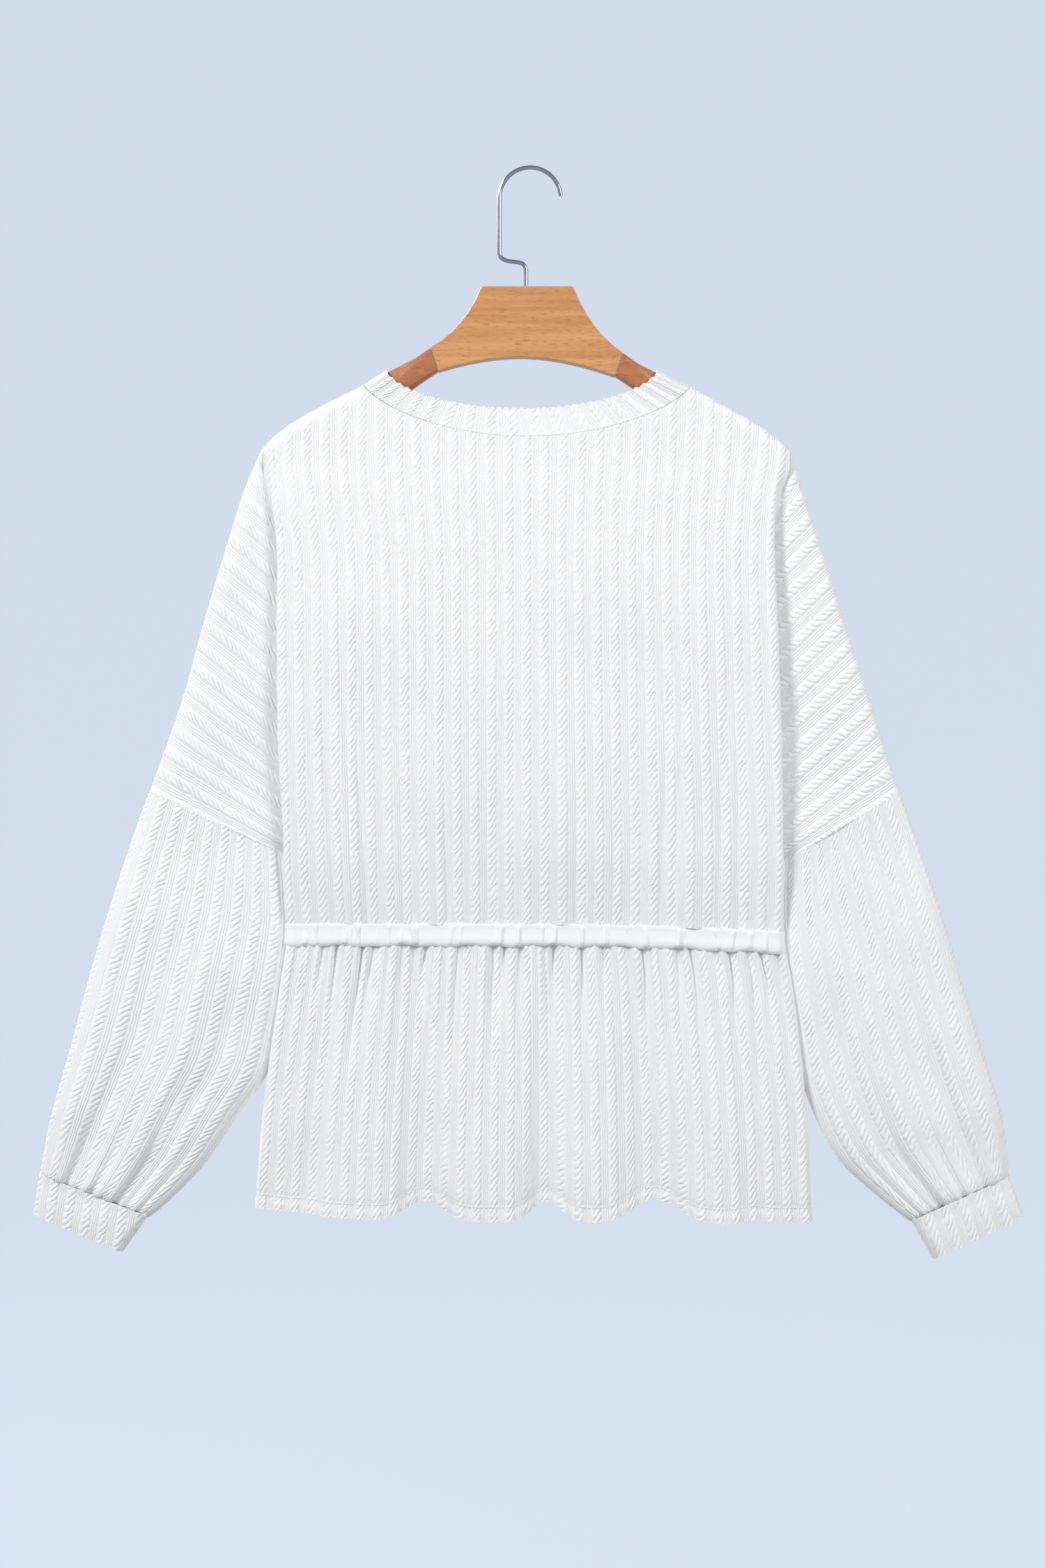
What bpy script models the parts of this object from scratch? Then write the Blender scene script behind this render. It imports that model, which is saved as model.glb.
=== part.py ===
"""Cable-knit peplum top on a wooden hanger, its back towards -Y, at real size.

Lengths are in millimetres until a mesh is made, and MM turns them into metres. +Z is up,
X runs across the shoulders and Y through the cloth. The origin is the inner top of the
hook, where a rail carries it. Left and right are those of someone who faces the back.
"""
import math
from collections import namedtuple

import bmesh
import bpy
from mathutils import Vector

MM = 0.001
BACK = -1
FRONT = 1
LEFT = -1
RIGHT = 1
THROUGH = (0.0, 1.0, 0.0)
UP = (0.0, 0.0, 1.0)

# The cloth
WALL = 1.5
SEAM_GAP = 0.4
HALF_SEAM_GAP = 0.15
CABLE_HEIGHT = 1.0
CABLE_STEP = 8.6
PLAN_SHIFT = -2.9
SIDE_THINNING = 0.15
OUTER_ROUNDING = 16.0
INNER_ROUNDING = 40.0

# The neck, the shoulders and the waist
NECK_HALF = 134.0
BAND_TOP_HALF = 111.0
BAND_TOP_CENTRE = -4.0
BAND_TOP_Z = -165.7
BACK_BAND_DROP = 32.4
BACK_SEAM_Z = -221.0
FRONT_NECK_DROP = 52.0
SHOULDER_HALF = 209.0
ARCH_DEPTH = 10.0
ARCH_DROP = 9.0
SHOULDER_EASE = 60.0
TOP_SPREAD_DROP = 50.0
FOLD_ROLL = 5.0
WAIST_Z = -620.5
WAIST_DIP = 7.0
WAIST_HALF = 211.0
CASING_HEIGHT = 17.0
PEPLUM_TOP_DEPTH = 14.0

ShoulderRow = namedtuple("ShoulderRow", "across left right")
SHOULDER = (
    ShoulderRow(60.0, -136.0, -142.0),
    ShoulderRow(107.0, -161.5, -165.8),
    ShoulderRow(115.0, -165.6, -169.6),
    ShoulderRow(134.0, -177.6, -179.2),
    ShoulderRow(160.0, -191.0, -193.8),
    ShoulderRow(186.0, -205.0, -208.5),
    ShoulderRow(203.0, -216.5, -220.0),
    ShoulderRow(216.0, -229.0, -231.5),
)

OutlineRow = namedtuple("OutlineRow", "down left right")
OUTLINE = (
    OutlineRow(234.0, 219.0, 217.5),
    OutlineRow(262.0, 231.0, 225.5),
    OutlineRow(319.0, 249.0, 244.5),
    OutlineRow(376.0, 266.0, 262.0),
    OutlineRow(434.0, 282.0, 281.0),
    OutlineRow(491.0, 302.0, 299.0),
    OutlineRow(548.0, 323.0, 319.0),
    OutlineRow(606.0, 342.0, 339.0),
    OutlineRow(663.0, 359.0, 356.0),
    OutlineRow(720.0, 374.0, 373.0),
    OutlineRow(778.0, 390.5, 390.5),
    OutlineRow(826.0, 400.0, 396.5),
)

BodyRow = namedtuple("BodyRow", "down left right depth wing tuck")
BODY = (
    BodyRow(180.0, 214.0, 214.0, 11.0, 8.5, 8.0),
    BodyRow(240.0, 214.0, 211.0, 13.0, 8.0, 8.0),
    BodyRow(271.0, 211.0, 207.0, 15.5, 6.0, 9.0),
    BodyRow(313.0, 205.5, 204.0, 18.0, 5.0, 13.0),
    BodyRow(375.0, 204.0, 205.0, 20.5, 5.0, 12.0),
    BodyRow(467.0, 203.0, 208.0, 21.5, 5.0, 12.0),
    BodyRow(560.0, 200.5, 212.0, 20.0, 5.0, 12.0),
    BodyRow(594.0, 199.0, 211.5, 17.0, 5.0, 12.0),
    BodyRow(621.0, 197.0, 211.0, 14.0, 5.0, 12.0),
)

SideRow = namedtuple("SideRow", "down left right")
PEPLUM_SIDE = (
    SideRow(637.0, 197.5, 211.5),
    SideRow(672.0, 203.0, 219.0),
    SideRow(775.0, 216.5, 229.8),
    SideRow(865.0, 223.5, 234.0),
)
SLEEVE_INNER = (
    SideRow(566.0, 208.5, 220.0),
    SideRow(594.0, 205.0, 217.5),
    SideRow(621.0, 203.5, 218.0),
    SideRow(645.0, 204.5, 219.5),
    SideRow(700.0, 212.0, 228.0),
    SideRow(745.0, 221.0, 234.5),
    SideRow(778.0, 240.0, 239.5),
    SideRow(812.0, 261.0, 255.5),
    SideRow(835.0, 279.0, 277.0),
    SideRow(859.0, 298.0, 301.0),
)
SLEEVE_SEAM_OUTER_DROP = 511.5
UNDERARM_WIDTH = 8.0
UNDERARM_RISE = 2.0

Wave = namedtuple("Wave", "top_x hem_x push width lift")
BACK_WAVES = (
    Wave(-98.0, -87.0, 15.0, 23.0, 15.0),
    Wave(17.0, 16.0, 13.0, 18.0, 15.0),
    Wave(81.0, 105.0, 15.0, 27.0, 18.0),
    Wave(168.0, 186.0, 4.0, 14.0, 2.0),
    Wave(-168.0, -188.0, 4.0, 14.0, 1.0),
)
FRONT_WAVES = (
    Wave(-120.0, -138.0, 14.0, 24.0, 15.0),
    Wave(-28.0, -34.0, 13.0, 20.0, 14.0),
    Wave(66.0, 74.0, 15.0, 25.0, 16.0),
    Wave(140.0, 160.0, 9.0, 20.0, 9.0),
)
BACK_GATHERS = (
    -183, -172, -148, -137, -112, -103, -92, -62, -54, -31, -21, -8, 13, 21, 45, 63, 81, 96,
    124, 135, 155, 168, 183, 193, 206,
)
FRONT_GATHERS = tuple(-x + 4 for x in reversed(BACK_GATHERS))
HEM_DROP = 862.0
HEM_FLARE_DEPTH = 25.0

# The hanger
WOOD_HALF_THICKNESS = 6.5
CENTRE_TOP_Z = -97.0
WIRE_RADIUS = 1.75
HOOK_RADIUS = 25.2
BOARD_ARRIS = 1.4
ARM_SEAT = 0.6


def clamp(value):
    return max(0.0, min(1.0, value))


def smooth(value):
    t = clamp(value)
    return t * t * (3.0 - 2.0 * t)


def lerp(a, b, t):
    return a + (b - a) * t


def read(rows, key, at, column):
    """A smooth value of one named column between the rows of a table."""
    keys = [getattr(row, key) for row in rows]
    values = [getattr(row, column) for row in rows]
    if at <= keys[0]:
        slope = (values[1] - values[0]) / (keys[1] - keys[0])
        return values[0] + slope * max(at - keys[0], -12.0)
    if at >= keys[-1]:
        return values[-1]
    k = 0
    while keys[k + 1] < at:
        k += 1
    width = keys[k + 1] - keys[k]
    t = (at - keys[k]) / width
    before = max(k - 1, 0)
    after = min(k + 2, len(keys) - 1)
    slope_in = (values[k + 1] - values[before]) / (keys[k + 1] - keys[before])
    slope_out = (values[after] - values[k]) / (keys[after] - keys[k])
    cubic = 2 * t ** 3 - 3 * t ** 2 + 1
    value = cubic * values[k] + (1.0 - cubic) * values[k + 1]
    value += (t ** 3 - 2 * t ** 2 + t) * width * slope_in
    value += (t ** 3 - t ** 2) * width * slope_out
    return value


def side_name(side):
    return "left" if side == LEFT else "right"


class Cloth:
    """A surface of cloth, worked out point by point and then given its thickness."""

    def __init__(self):
        self.points = []
        self.reliefs = []
        self.seam_axes = {}
        self.faces = []

    def point(self, x, y, z, relief=0.0, seams=()):
        self.points.append(Vector((x, y, z)))
        self.reliefs.append(relief)
        index = len(self.points) - 1
        if seams:
            self.seam_axes[index] = [Vector(axis).normalized() for axis in seams]
        return index

    def grid(self, rows):
        for upper, lower in zip(rows, rows[1:]):
            for k in range(len(upper) - 1):
                self.faces.append((upper[k], lower[k], lower[k + 1], upper[k + 1]))

    def ribbon(self, left, right):
        """Triangles between two edges with unlike numbers of points, both listed downwards."""
        i = 0
        j = 0
        while i < len(left) - 1 or j < len(right) - 1:
            if j == len(right) - 1:
                left_next = True
            elif i == len(left) - 1:
                left_next = False
            else:
                left_next = self.points[left[i + 1]].z >= self.points[right[j + 1]].z
            if left_next:
                self.faces.append((left[i], left[i + 1], right[j]))
                i += 1
            else:
                self.faces.append((left[i], right[j + 1], right[j]))
                j += 1

    def triangles(self):
        """Every face cut along its shorter diagonal, so that both sides of the wall agree."""
        cut = []
        for face in self.faces:
            if len(face) == 3:
                cut.append(face)
                continue
            a, b, c, d = face
            first = (self.points[a] - self.points[c]).length
            second = (self.points[b] - self.points[d]).length
            cut += [(a, b, c), (a, c, d)] if first <= second else [(a, b, d), (b, c, d)]
        return cut

    def normals(self):
        sums = [Vector((0.0, 0.0, 0.0)) for _ in self.points]
        for face in self.faces:
            corners = [self.points[k] for k in face]
            normal = Vector((0.0, 0.0, 0.0))
            for a, b in zip(corners, corners[1:] + corners[:1]):
                normal += a.cross(b)
            for k in face:
                sums[k] += normal
        for k, axes in self.seam_axes.items():
            for axis in axes:
                sums[k] -= axis * sums[k].dot(axis)
        return [total.normalized() for total in sums]

    def build(self, name, material, flip=False):
        if flip:
            self.faces = [tuple(reversed(face)) for face in self.faces]
        self.faces = self.triangles()
        normals = self.normals()
        mesh = bmesh.new()
        outer = []
        inner = []
        for centre, normal, relief in zip(self.points, normals, self.reliefs):
            outer.append(mesh.verts.new((centre + normal * (WALL / 2 + relief)) * MM))
            inner.append(mesh.verts.new((centre - normal * (WALL / 2)) * MM))
        edges = {}
        for face in self.faces:
            mesh.faces.new([outer[k] for k in face])
            mesh.faces.new([inner[k] for k in reversed(face)])
            for a, b in zip(face, face[1:] + face[:1]):
                edges[(a, b)] = True
        for a, b in edges:
            if (b, a) not in edges:
                mesh.faces.new((outer[b], outer[a], inner[a], inner[b]))
        bmesh.ops.translate(mesh, verts=mesh.verts, vec=(PLAN_SHIFT * MM, 0.0, 0.0))
        return finish_mesh(mesh, name, material)


def finish_mesh(mesh, name, material):
    data = bpy.data.meshes.new(name)
    mesh.to_mesh(data)
    mesh.free()
    data.materials.append(material)
    data.shade_smooth()
    data.set_sharp_from_angle(angle=math.radians(40))
    piece = bpy.data.objects.new(name, data)
    collection.objects.link(piece)
    return piece


def make_material(name, color, roughness, metallic=0.0):
    material = bpy.data.materials.new(name)
    material.use_nodes = True
    shader = material.node_tree.nodes["Principled BSDF"]
    shader.inputs["Base Color"].default_value = (*color, 1.0)
    shader.inputs["Roughness"].default_value = roughness
    shader.inputs["Metallic"].default_value = metallic
    return material


# The form that the hanger gives the upper body

def shoulder_z(across, side):
    return read(SHOULDER, "across", across, side_name(side))


def fold_x(down, side):
    return read(BODY, "down", down, side_name(side))


def thinning(share):
    """How much flatter the body is towards its sides."""
    return 1.0 - SIDE_THINNING * share * share


def upper_depth(across, down, side):
    """Distance of the body's cloth from the middle plane, over the hanger's arm and below it."""
    drop = shoulder_z(across, side) + down
    arch = ARCH_DEPTH * math.sqrt(1.0 - (1.0 - clamp(drop / ARCH_DROP)) ** 2)
    share = across / (fold_x(down, side) - FOLD_ROLL)
    body = read(BODY, "down", down, "depth") * thinning(share)
    return HALF_SEAM_GAP + arch + (body - ARCH_DEPTH) * smooth(drop / SHOULDER_EASE)


def neck_drop(share, facing):
    """How much lower the front neckline hangs than the back one."""
    if facing == BACK:
        return 0.0
    return FRONT_NECK_DROP * clamp(1.0 - share * share) ** 1.5


def neck_seam_z(across, side, facing):
    corner = shoulder_z(NECK_HALF, side)
    share = across / NECK_HALF
    curve = (corner - BACK_SEAM_Z) * clamp(1.0 - share * share) ** 0.72
    return corner - curve - neck_drop(share, facing)


def neck_column_ends(across, side, facing):
    """Where a column of the neckband meets the band's top edge and its seam."""
    share = across / NECK_HALF
    top_x = BAND_TOP_CENTRE + side * BAND_TOP_HALF * share
    top_z = BAND_TOP_Z - BACK_BAND_DROP * clamp(1.0 - share * share) ** 0.6
    top_z -= neck_drop(share, facing)
    seam_x = side * across
    seam_z = neck_seam_z(across, side, facing)
    ends = []
    for x, z in ((top_x, top_z), (seam_x, seam_z)):
        depth = upper_depth(abs(x), -z, LEFT if x < 0.0 else RIGHT)
        ends.append(Vector((x, 0.0 if across == NECK_HALF else facing * depth, z)))
    return ends


def across_neck_seam(across, side, facing):
    top, seam_point = neck_column_ends(across, side, facing)
    return (top - seam_point).normalized()


def waist_z(x):
    return WAIST_Z - WAIST_DIP * clamp(x / WAIST_HALF) ** 2


def cable(across):
    return CABLE_HEIGHT * (0.5 + 0.5 * math.cos(math.pi * across / CABLE_STEP))


def neck_columns():
    """Distances from the middle at which the bodice and the neckband have their columns."""
    regular = [CABLE_STEP * n for n in range(16)]
    return regular + [NECK_HALF - 1.6, NECK_HALF - 0.4, NECK_HALF]


def shoulder_columns():
    return [CABLE_STEP * n for n in range(16, 25)] + [SHOULDER_HALF]


# The side of the body: round the edge, in between the layers, and out again as the wing

FOLD_COLUMNS = 7
ROLL_ANGLES = (60.0, 120.0, 180.0)
TURN_ANGLES = (60.0, 120.0, 180.0)
TOP_SPREAD = 6.5


def fold_section(down, side, weight, gusset):
    """Points (across, depth) that follow the body's last column at one height."""
    edge = fold_x(down, side)
    body_depth = read(BODY, "down", down, "depth") * thinning(1.0)
    tuck = read(BODY, "down", down, "tuck")
    wing_depth = read(BODY, "down", down, "wing")
    tuck_depth = (body_depth + wing_depth) / 2
    roll = (body_depth - tuck_depth) / 2
    folded = []
    for angle in ROLL_ANGLES:
        turn = math.radians(angle)
        across = edge - roll + roll * math.sin(turn)
        folded.append((across, tuck_depth + roll + roll * math.cos(turn)))
    inner = edge - roll - tuck
    folded.append((inner, tuck_depth))
    for angle in TURN_ANGLES:
        turn = math.radians(angle)
        turn_radius = (tuck_depth - wing_depth) / 2
        across = inner - turn_radius * math.sin(turn)
        folded.append((across, wing_depth + turn_radius * (1.0 + math.cos(turn))))
    plain = []
    for k in range(1, FOLD_COLUMNS + 1):
        share = k / FOLD_COLUMNS
        if gusset:
            turn = math.radians(90.0) * share
            across = edge - FOLD_ROLL + FOLD_ROLL * math.sin(turn)
            plain.append((across, lerp(HALF_SEAM_GAP, body_depth, math.cos(turn))))
        else:
            across = edge - FOLD_ROLL + TOP_SPREAD * share
            plain.append((across, lerp(body_depth, wing_depth, share)))
    return [
        (lerp(a[0], b[0], weight), lerp(a[1], b[1], weight)) for a, b in zip(plain, folded)
    ]


# The bodice

TOP_ROW_DROPS = (0.0, 3.0, 9.0)
LowerRow = namedtuple("LowerRow", "share fold")
LOWER_ROWS = (
    LowerRow(0.09, 0.0),
    LowerRow(0.2, 0.5),
    LowerRow(0.36, 1.0),
    LowerRow(0.6, 0.9),
    LowerRow(0.8, 0.15),
    LowerRow(0.865, 0.0),
    LowerRow(0.93, 0.0),
    LowerRow(1.0, 0.0),
)
UNDERARM_ROW = len(TOP_ROW_DROPS) + 5
WING_LINES = 26
WING_TOP_DROP = 250.0
WING_SHARES = (0.0, 0.035, 0.13, 0.4, 0.74, 1.0)


def body_rows(top, bottom):
    heights = [top - drop for drop in TOP_ROW_DROPS]
    first = heights[-1]
    return heights + [lerp(first, bottom, row.share) for row in LOWER_ROWS]


def underarm(side):
    """Inner end (across, down) of the seam that sets the sleeve on, just above the side seam."""
    rows = body_rows(shoulder_z(SHOULDER_HALF, side), waist_z(side * SHOULDER_HALF))
    down = -rows[UNDERARM_ROW]
    return fold_x(down, side) + UNDERARM_WIDTH, down - UNDERARM_RISE


def body_column(cloth, facing, side, top_across, in_neck):
    top = neck_seam_z(top_across, side, facing) if in_neck else shoulder_z(top_across, side)
    share = top_across / SHOULDER_HALF
    heights = body_rows(top, waist_z(side * top_across))
    column = []
    last = len(heights) - 1
    for row, z in enumerate(heights):
        spread = share * (fold_x(-z, side) - FOLD_ROLL)
        across = lerp(top_across, spread, smooth((top - z) / TOP_SPREAD_DROP))
        depth = upper_depth(across, -z, side)
        if row == last:
            depth = BODY[-1].depth * thinning(share)
        seams = []
        if row == 0 and top_across >= NECK_HALF:
            seams.append(THROUGH)
        if row == 0 and in_neck:
            seams.append(across_neck_seam(top_across, side, facing))
        if row == last:
            seams.append(UP)
        relief = cable(top_across)
        column.append(cloth.point(side * across, facing * depth, z, relief, seams))
    return column


def fold_columns(cloth, facing, side):
    """The columns of the side fold, the last of which starts the wing or is the side seam."""
    heights = body_rows(shoulder_z(SHOULDER_HALF, side), waist_z(side * SHOULDER_HALF))
    columns = [[] for _ in range(FOLD_COLUMNS)]
    last = len(heights) - 1
    for row, z in enumerate(heights):
        weight = LOWER_ROWS[max(row - len(TOP_ROW_DROPS), 0)].fold
        section = fold_section(-z, side, weight, row >= UNDERARM_ROW)
        for k, (across, depth) in enumerate(section):
            height = z
            seams = []
            if row < len(TOP_ROW_DROPS):
                across = SHOULDER_HALF + TOP_SPREAD * (k + 1) / FOLD_COLUMNS
                height = shoulder_z(across, side) - TOP_ROW_DROPS[row]
                depth = upper_depth(across, -height, side)
                depth = min(depth, lerp(10.0, 8.0, (k + 1) / FOLD_COLUMNS) + HALF_SEAM_GAP)
            if row == 0 or (k == FOLD_COLUMNS - 1 and row >= UNDERARM_ROW):
                seams.append(THROUGH)
            if row == last:
                seams.append(UP)
            columns[k].append(cloth.point(side * across, facing * depth, height, 0.0, seams))
    return columns


def outline_point(down, side):
    return read(OUTLINE, "down", down, side_name(side))


def sleeve_depth(from_outer, from_inner, depth):
    """Half the thickness of the flattened sleeve at a distance from its two edges."""
    outer = math.sqrt(1.0 - (1.0 - clamp(from_outer / OUTER_ROUNDING)) ** 2)
    inner = math.sqrt(1.0 - (1.0 - clamp(from_inner / INNER_ROUNDING)) ** 2)
    return HALF_SEAM_GAP + depth * outer * inner


def wing(cloth, facing, side, fold_edge):
    """Lines of points from the sleeve's top edge in to the fold, as the cables run."""
    edge_x = [abs(cloth.points[k].x) for k in fold_edge]
    edge_z = [cloth.points[k].z for k in fold_edge]
    edge_depth = [abs(cloth.points[k].y) for k in fold_edge]
    inner_across, inner_drop = underarm(side)
    lines = []
    for line in range(WING_LINES + 1):
        share = line / WING_LINES
        start_down = lerp(OUTLINE[0].down, SLEEVE_SEAM_OUTER_DROP, share)
        start = outline_point(start_down, side)
        end_share = 1.0 - (1.0 - share) ** 1.3
        end_down = lerp(WING_TOP_DROP, inner_drop, end_share)
        k = 0
        while k < len(edge_z) - 2 and edge_z[k + 1] > -end_down:
            k += 1
        t = clamp((edge_z[k] + end_down) / (edge_z[k] - edge_z[k + 1]))
        end = lerp(edge_x[k], edge_x[k + 1], t) + lerp(2.0, 6.0, smooth(share * 6.0))
        inner_depth = lerp(edge_depth[k], edge_depth[k + 1], t) - HALF_SEAM_GAP
        if line == WING_LINES:
            end = inner_across
            inner_depth = 0.0
        length = math.hypot(start - end, end_down - start_down)
        middle = lerp(7.0, 8.5, clamp(share * 4.0))
        ridge = CABLE_HEIGHT if line % 2 else 0.0
        points = []
        for k, long_share in enumerate(WING_SHARES):
            across_share = lerp(k / (len(WING_SHARES) - 1), long_share, smooth((length - 15.0) / 60.0))
            rise = math.sqrt(1.0 - (1.0 - clamp(across_share * length / OUTER_ROUNDING)) ** 2)
            inward = lerp(middle, inner_depth, smooth(across_share))
            from_inner = (1.0 - across_share) * length
            rounding = math.sqrt(1.0 - (1.0 - clamp(from_inner / INNER_ROUNDING)) ** 2)
            rounded = lerp(inner_depth, middle, rounding)
            inward = lerp(inward, rounded, smooth((share - 0.75) * 4.0))
            depth = HALF_SEAM_GAP + rise * inward
            seams = []
            if line == WING_LINES:
                seams.append((side * (end_down - start_down), 0.0, end - start))
            if k == 0 or (line == WING_LINES and k == len(WING_SHARES) - 1):
                seams.append(THROUGH)
            across = lerp(start, end, across_share)
            height = -lerp(start_down, end_down, across_share)
            relief = 0.0 if k in (0, len(WING_SHARES) - 1) else ridge
            points.append(cloth.point(side * across, facing * depth, height, relief, seams))
        lines.append(points)
    return lines


def bodice(name, facing):
    cloth = Cloth()
    halves = {}
    for side in (LEFT, RIGHT):
        columns = [body_column(cloth, facing, side, x, True) for x in neck_columns()]
        columns += [body_column(cloth, facing, side, x, False) for x in shoulder_columns()]
        halves[side] = columns
    middle = halves[LEFT][0]
    halves[RIGHT][0] = middle
    order = list(reversed(halves[LEFT])) + halves[RIGHT][1:]
    body = [list(row) for row in zip(*order)]
    cloth.grid(body)
    for side in (LEFT, RIGHT):
        fold = fold_columns(cloth, facing, side)
        outer_columns = [halves[side][-1]] + fold
        if side == LEFT:
            outer_columns.reverse()
        cloth.grid([list(row) for row in zip(*outer_columns)])
        edge = fold[-1][:UNDERARM_ROW + 1]
        lines = wing(cloth, facing, side, edge)
        inner = lines[0] + [line[-1] for line in lines[1:]]
        if side == LEFT:
            cloth.ribbon(inner, edge)
            cloth.grid(lines)
        else:
            cloth.ribbon(edge, inner)
            cloth.grid([list(reversed(line)) for line in lines])
    used = sorted({k for face in cloth.faces for k in face})
    place = {old: new for new, old in enumerate(used)}
    cloth.points = [cloth.points[k] for k in used]
    cloth.reliefs = [cloth.reliefs[k] for k in used]
    cloth.seam_axes = {place[k]: axes for k, axes in cloth.seam_axes.items() if k in place}
    cloth.faces = [tuple(place[k] for k in face) for face in cloth.faces]
    return cloth.build(name, knit, flip=(facing == FRONT))


# The neckband

def neckband():
    cloth = Cloth()
    columns = []
    for facing in (BACK, FRONT):
        stations = [(LEFT, x) for x in reversed(neck_columns())]
        stations += [(RIGHT, x) for x in neck_columns()[1:]]
        if facing == FRONT:
            stations = list(reversed(stations))[1:-1]
        for side, across in stations:
            top, seam_point = neck_column_ends(across, side, facing)
            axis = across_neck_seam(across, side, facing)
            column = []
            for t in (1.0, 0.5, 0.0):
                x = lerp(seam_point.x, top.x, t)
                z = lerp(seam_point.z, top.z, t)
                y = facing * upper_depth(abs(x), -z, LEFT if x < 0.0 else RIGHT)
                place = Vector((x, 0.0 if across == NECK_HALF else y, z))
                if t == 0.0:
                    place += axis * SEAM_GAP
                seams = [axis] if t == 0.0 else []
                column.append(cloth.point(*place, cable(across) * 0.6, seams))
            columns.append(column)
    columns.append(columns[0])
    cloth.grid([list(row) for row in zip(*columns)])
    return cloth.build("neckband", knit)


# Sleeves and cuffs, each one flattened tube

SLEEVE_ROWS = (0.0, 0.06, 0.14, 0.31, 0.5, 0.69, 0.87, 1.0)
SLEEVE_COLUMNS = 14
CUFF_COLUMNS = 12
CuffEnds = namedtuple("CuffEnds", "outer_top inner_top outer_bottom inner_bottom")
CUFFS = {
    LEFT: CuffEnds((400.0, 826.5), (311.5, 861.0), (405.0, 858.5), (332.5, 889.5)),
    RIGHT: CuffEnds((396.5, 828.5), (316.5, 864.5), (408.5, 861.0), (334.5, 895.5)),
}


def tube_shares(count, length):
    """Shares of a flattened tube's width, with one closer column near each edge."""
    near = 2.5 / length
    return [0.0, near] + [k / count for k in range(1, count)] + [1.0 - near, 1.0]


def tube_row(cloth, outer, inner, side, shares, depth, reliefs, seams, edge=None):
    """One closed ring from the outer edge along the back, round and back along the front."""
    length = math.hypot(outer[0] - inner[0], outer[1] - inner[1])
    row = []
    for facing, order in ((BACK, shares), (FRONT, list(reversed(shares))[1:-1])):
        for share in order:
            k = shares.index(share)
            x = side * lerp(outer[0], inner[0], share)
            z = -lerp(outer[1], inner[1], share)
            if edge is None:
                half = sleeve_depth(share * length, (1.0 - share) * length, depth)
            else:
                rim = min(share, 1.0 - share) * length
                half = depth * math.sqrt(1.0 - (1.0 - clamp(rim / edge)) ** 2)
            if share in (0.0, 1.0):
                half = 0.0
            row.append(cloth.point(x, facing * half, z, reliefs[k], seams))
    if side == RIGHT:
        row = [row[0]] + list(reversed(row[1:]))
    return row + [row[0]]


def alternate(count, height):
    """Cable heights over a tube's columns, none at its two edges."""
    inner = [height if k % 2 else 0.0 for k in range(1, count)]
    return [0.0, 0.0] + inner + [0.0, 0.0]


def inner_edge(down, side):
    return read(SLEEVE_INNER, "down", down, side_name(side))


def sleeve(name, side):
    cloth = Cloth()
    rows = []
    cuff = CUFFS[side]
    for row, share in enumerate(SLEEVE_ROWS):
        outer_down = lerp(SLEEVE_SEAM_OUTER_DROP, OUTLINE[-1].down, share)
        inner_down = lerp(underarm(side)[1], SLEEVE_INNER[-1].down, share)
        outer = (outline_point(outer_down, side), outer_down)
        inner = (inner_edge(inner_down, side), inner_down)
        if row == 0:
            inner = underarm(side)
        if row == len(SLEEVE_ROWS) - 1:
            outer = cuff.outer_top
            inner = cuff.inner_top
        run = (outer[0] - inner[0], inner[1] - outer[1])
        seams = []
        shift = 0.0
        if row == 0:
            seams = [(side * run[1], 0.0, -run[0])]
            shift = SEAM_GAP
        if row == len(SLEEVE_ROWS) - 1:
            seams = [(side * run[1], 0.0, -run[0])]
            shift = -SEAM_GAP / 2
        outer = (outer[0], outer[1] + shift)
        inner = (inner[0], inner[1] + shift)
        shares = tube_shares(SLEEVE_COLUMNS, math.hypot(*run))
        depth = lerp(8.5, 12.0, smooth(share * 2.5))
        depth = lerp(depth, 8.0, smooth((share - 0.8) * 5.0))
        heights = alternate(SLEEVE_COLUMNS, CABLE_HEIGHT)
        rows.append(tube_row(cloth, outer, inner, side, shares, depth, heights, seams))
    cloth.grid(rows)
    return cloth.build(name, knit)


def cuff(name, side):
    cloth = Cloth()
    ends = CUFFS[side]
    rows = []
    for row, share in enumerate((0.0, 0.5, 1.0)):
        outer = [lerp(a, b, share) for a, b in zip(ends.outer_top, ends.outer_bottom)]
        inner = [lerp(a, b, share) for a, b in zip(ends.inner_top, ends.inner_bottom)]
        shift = SEAM_GAP / 2 if row == 0 else 0.0
        outer[1] += shift
        inner[1] += shift
        run = (outer[0] - inner[0], inner[1] - outer[1])
        seams = [(side * run[1], 0.0, -run[0])] if row != 1 else []
        shares = tube_shares(CUFF_COLUMNS, math.hypot(*run))
        heights = alternate(CUFF_COLUMNS, CABLE_HEIGHT * 0.6)
        depth = lerp(7.5, 8.5, math.sin(math.pi * share))
        rows.append(tube_row(cloth, outer, inner, side, shares, depth, heights, seams, 9.0))
    cloth.grid(rows)
    return cloth.build(name, knit)


# The waist casing and the peplum

CasingRow = namedtuple("CasingRow", "down proud")
CASING = (
    CasingRow(0.0, 0.0),
    CasingRow(7.0, -0.3),
    CasingRow(12.5, 1.8),
    CasingRow(CASING_HEIGHT, 0.0),
)
CASING_STEPS = 26
PEPLUM_STEPS = 58
PEPLUM_ROWS = (0.0, 0.1, 0.3, 0.56, 0.8, 1.0)


def panel_stations(steps, end_angles):
    """Columns from the left tip to the right tip: (side, share of the flat part, end angle)."""
    ends = list(end_angles)
    stations = [(LEFT, 1.0, angle) for angle in reversed(ends)]
    for k in range(steps + 1):
        share = -1.0 + 2.0 * k / steps
        stations.append((LEFT if share < 0.0 else RIGHT, abs(share), 0.0))
    return stations + [(RIGHT, 1.0, angle) for angle in ends]


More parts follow.
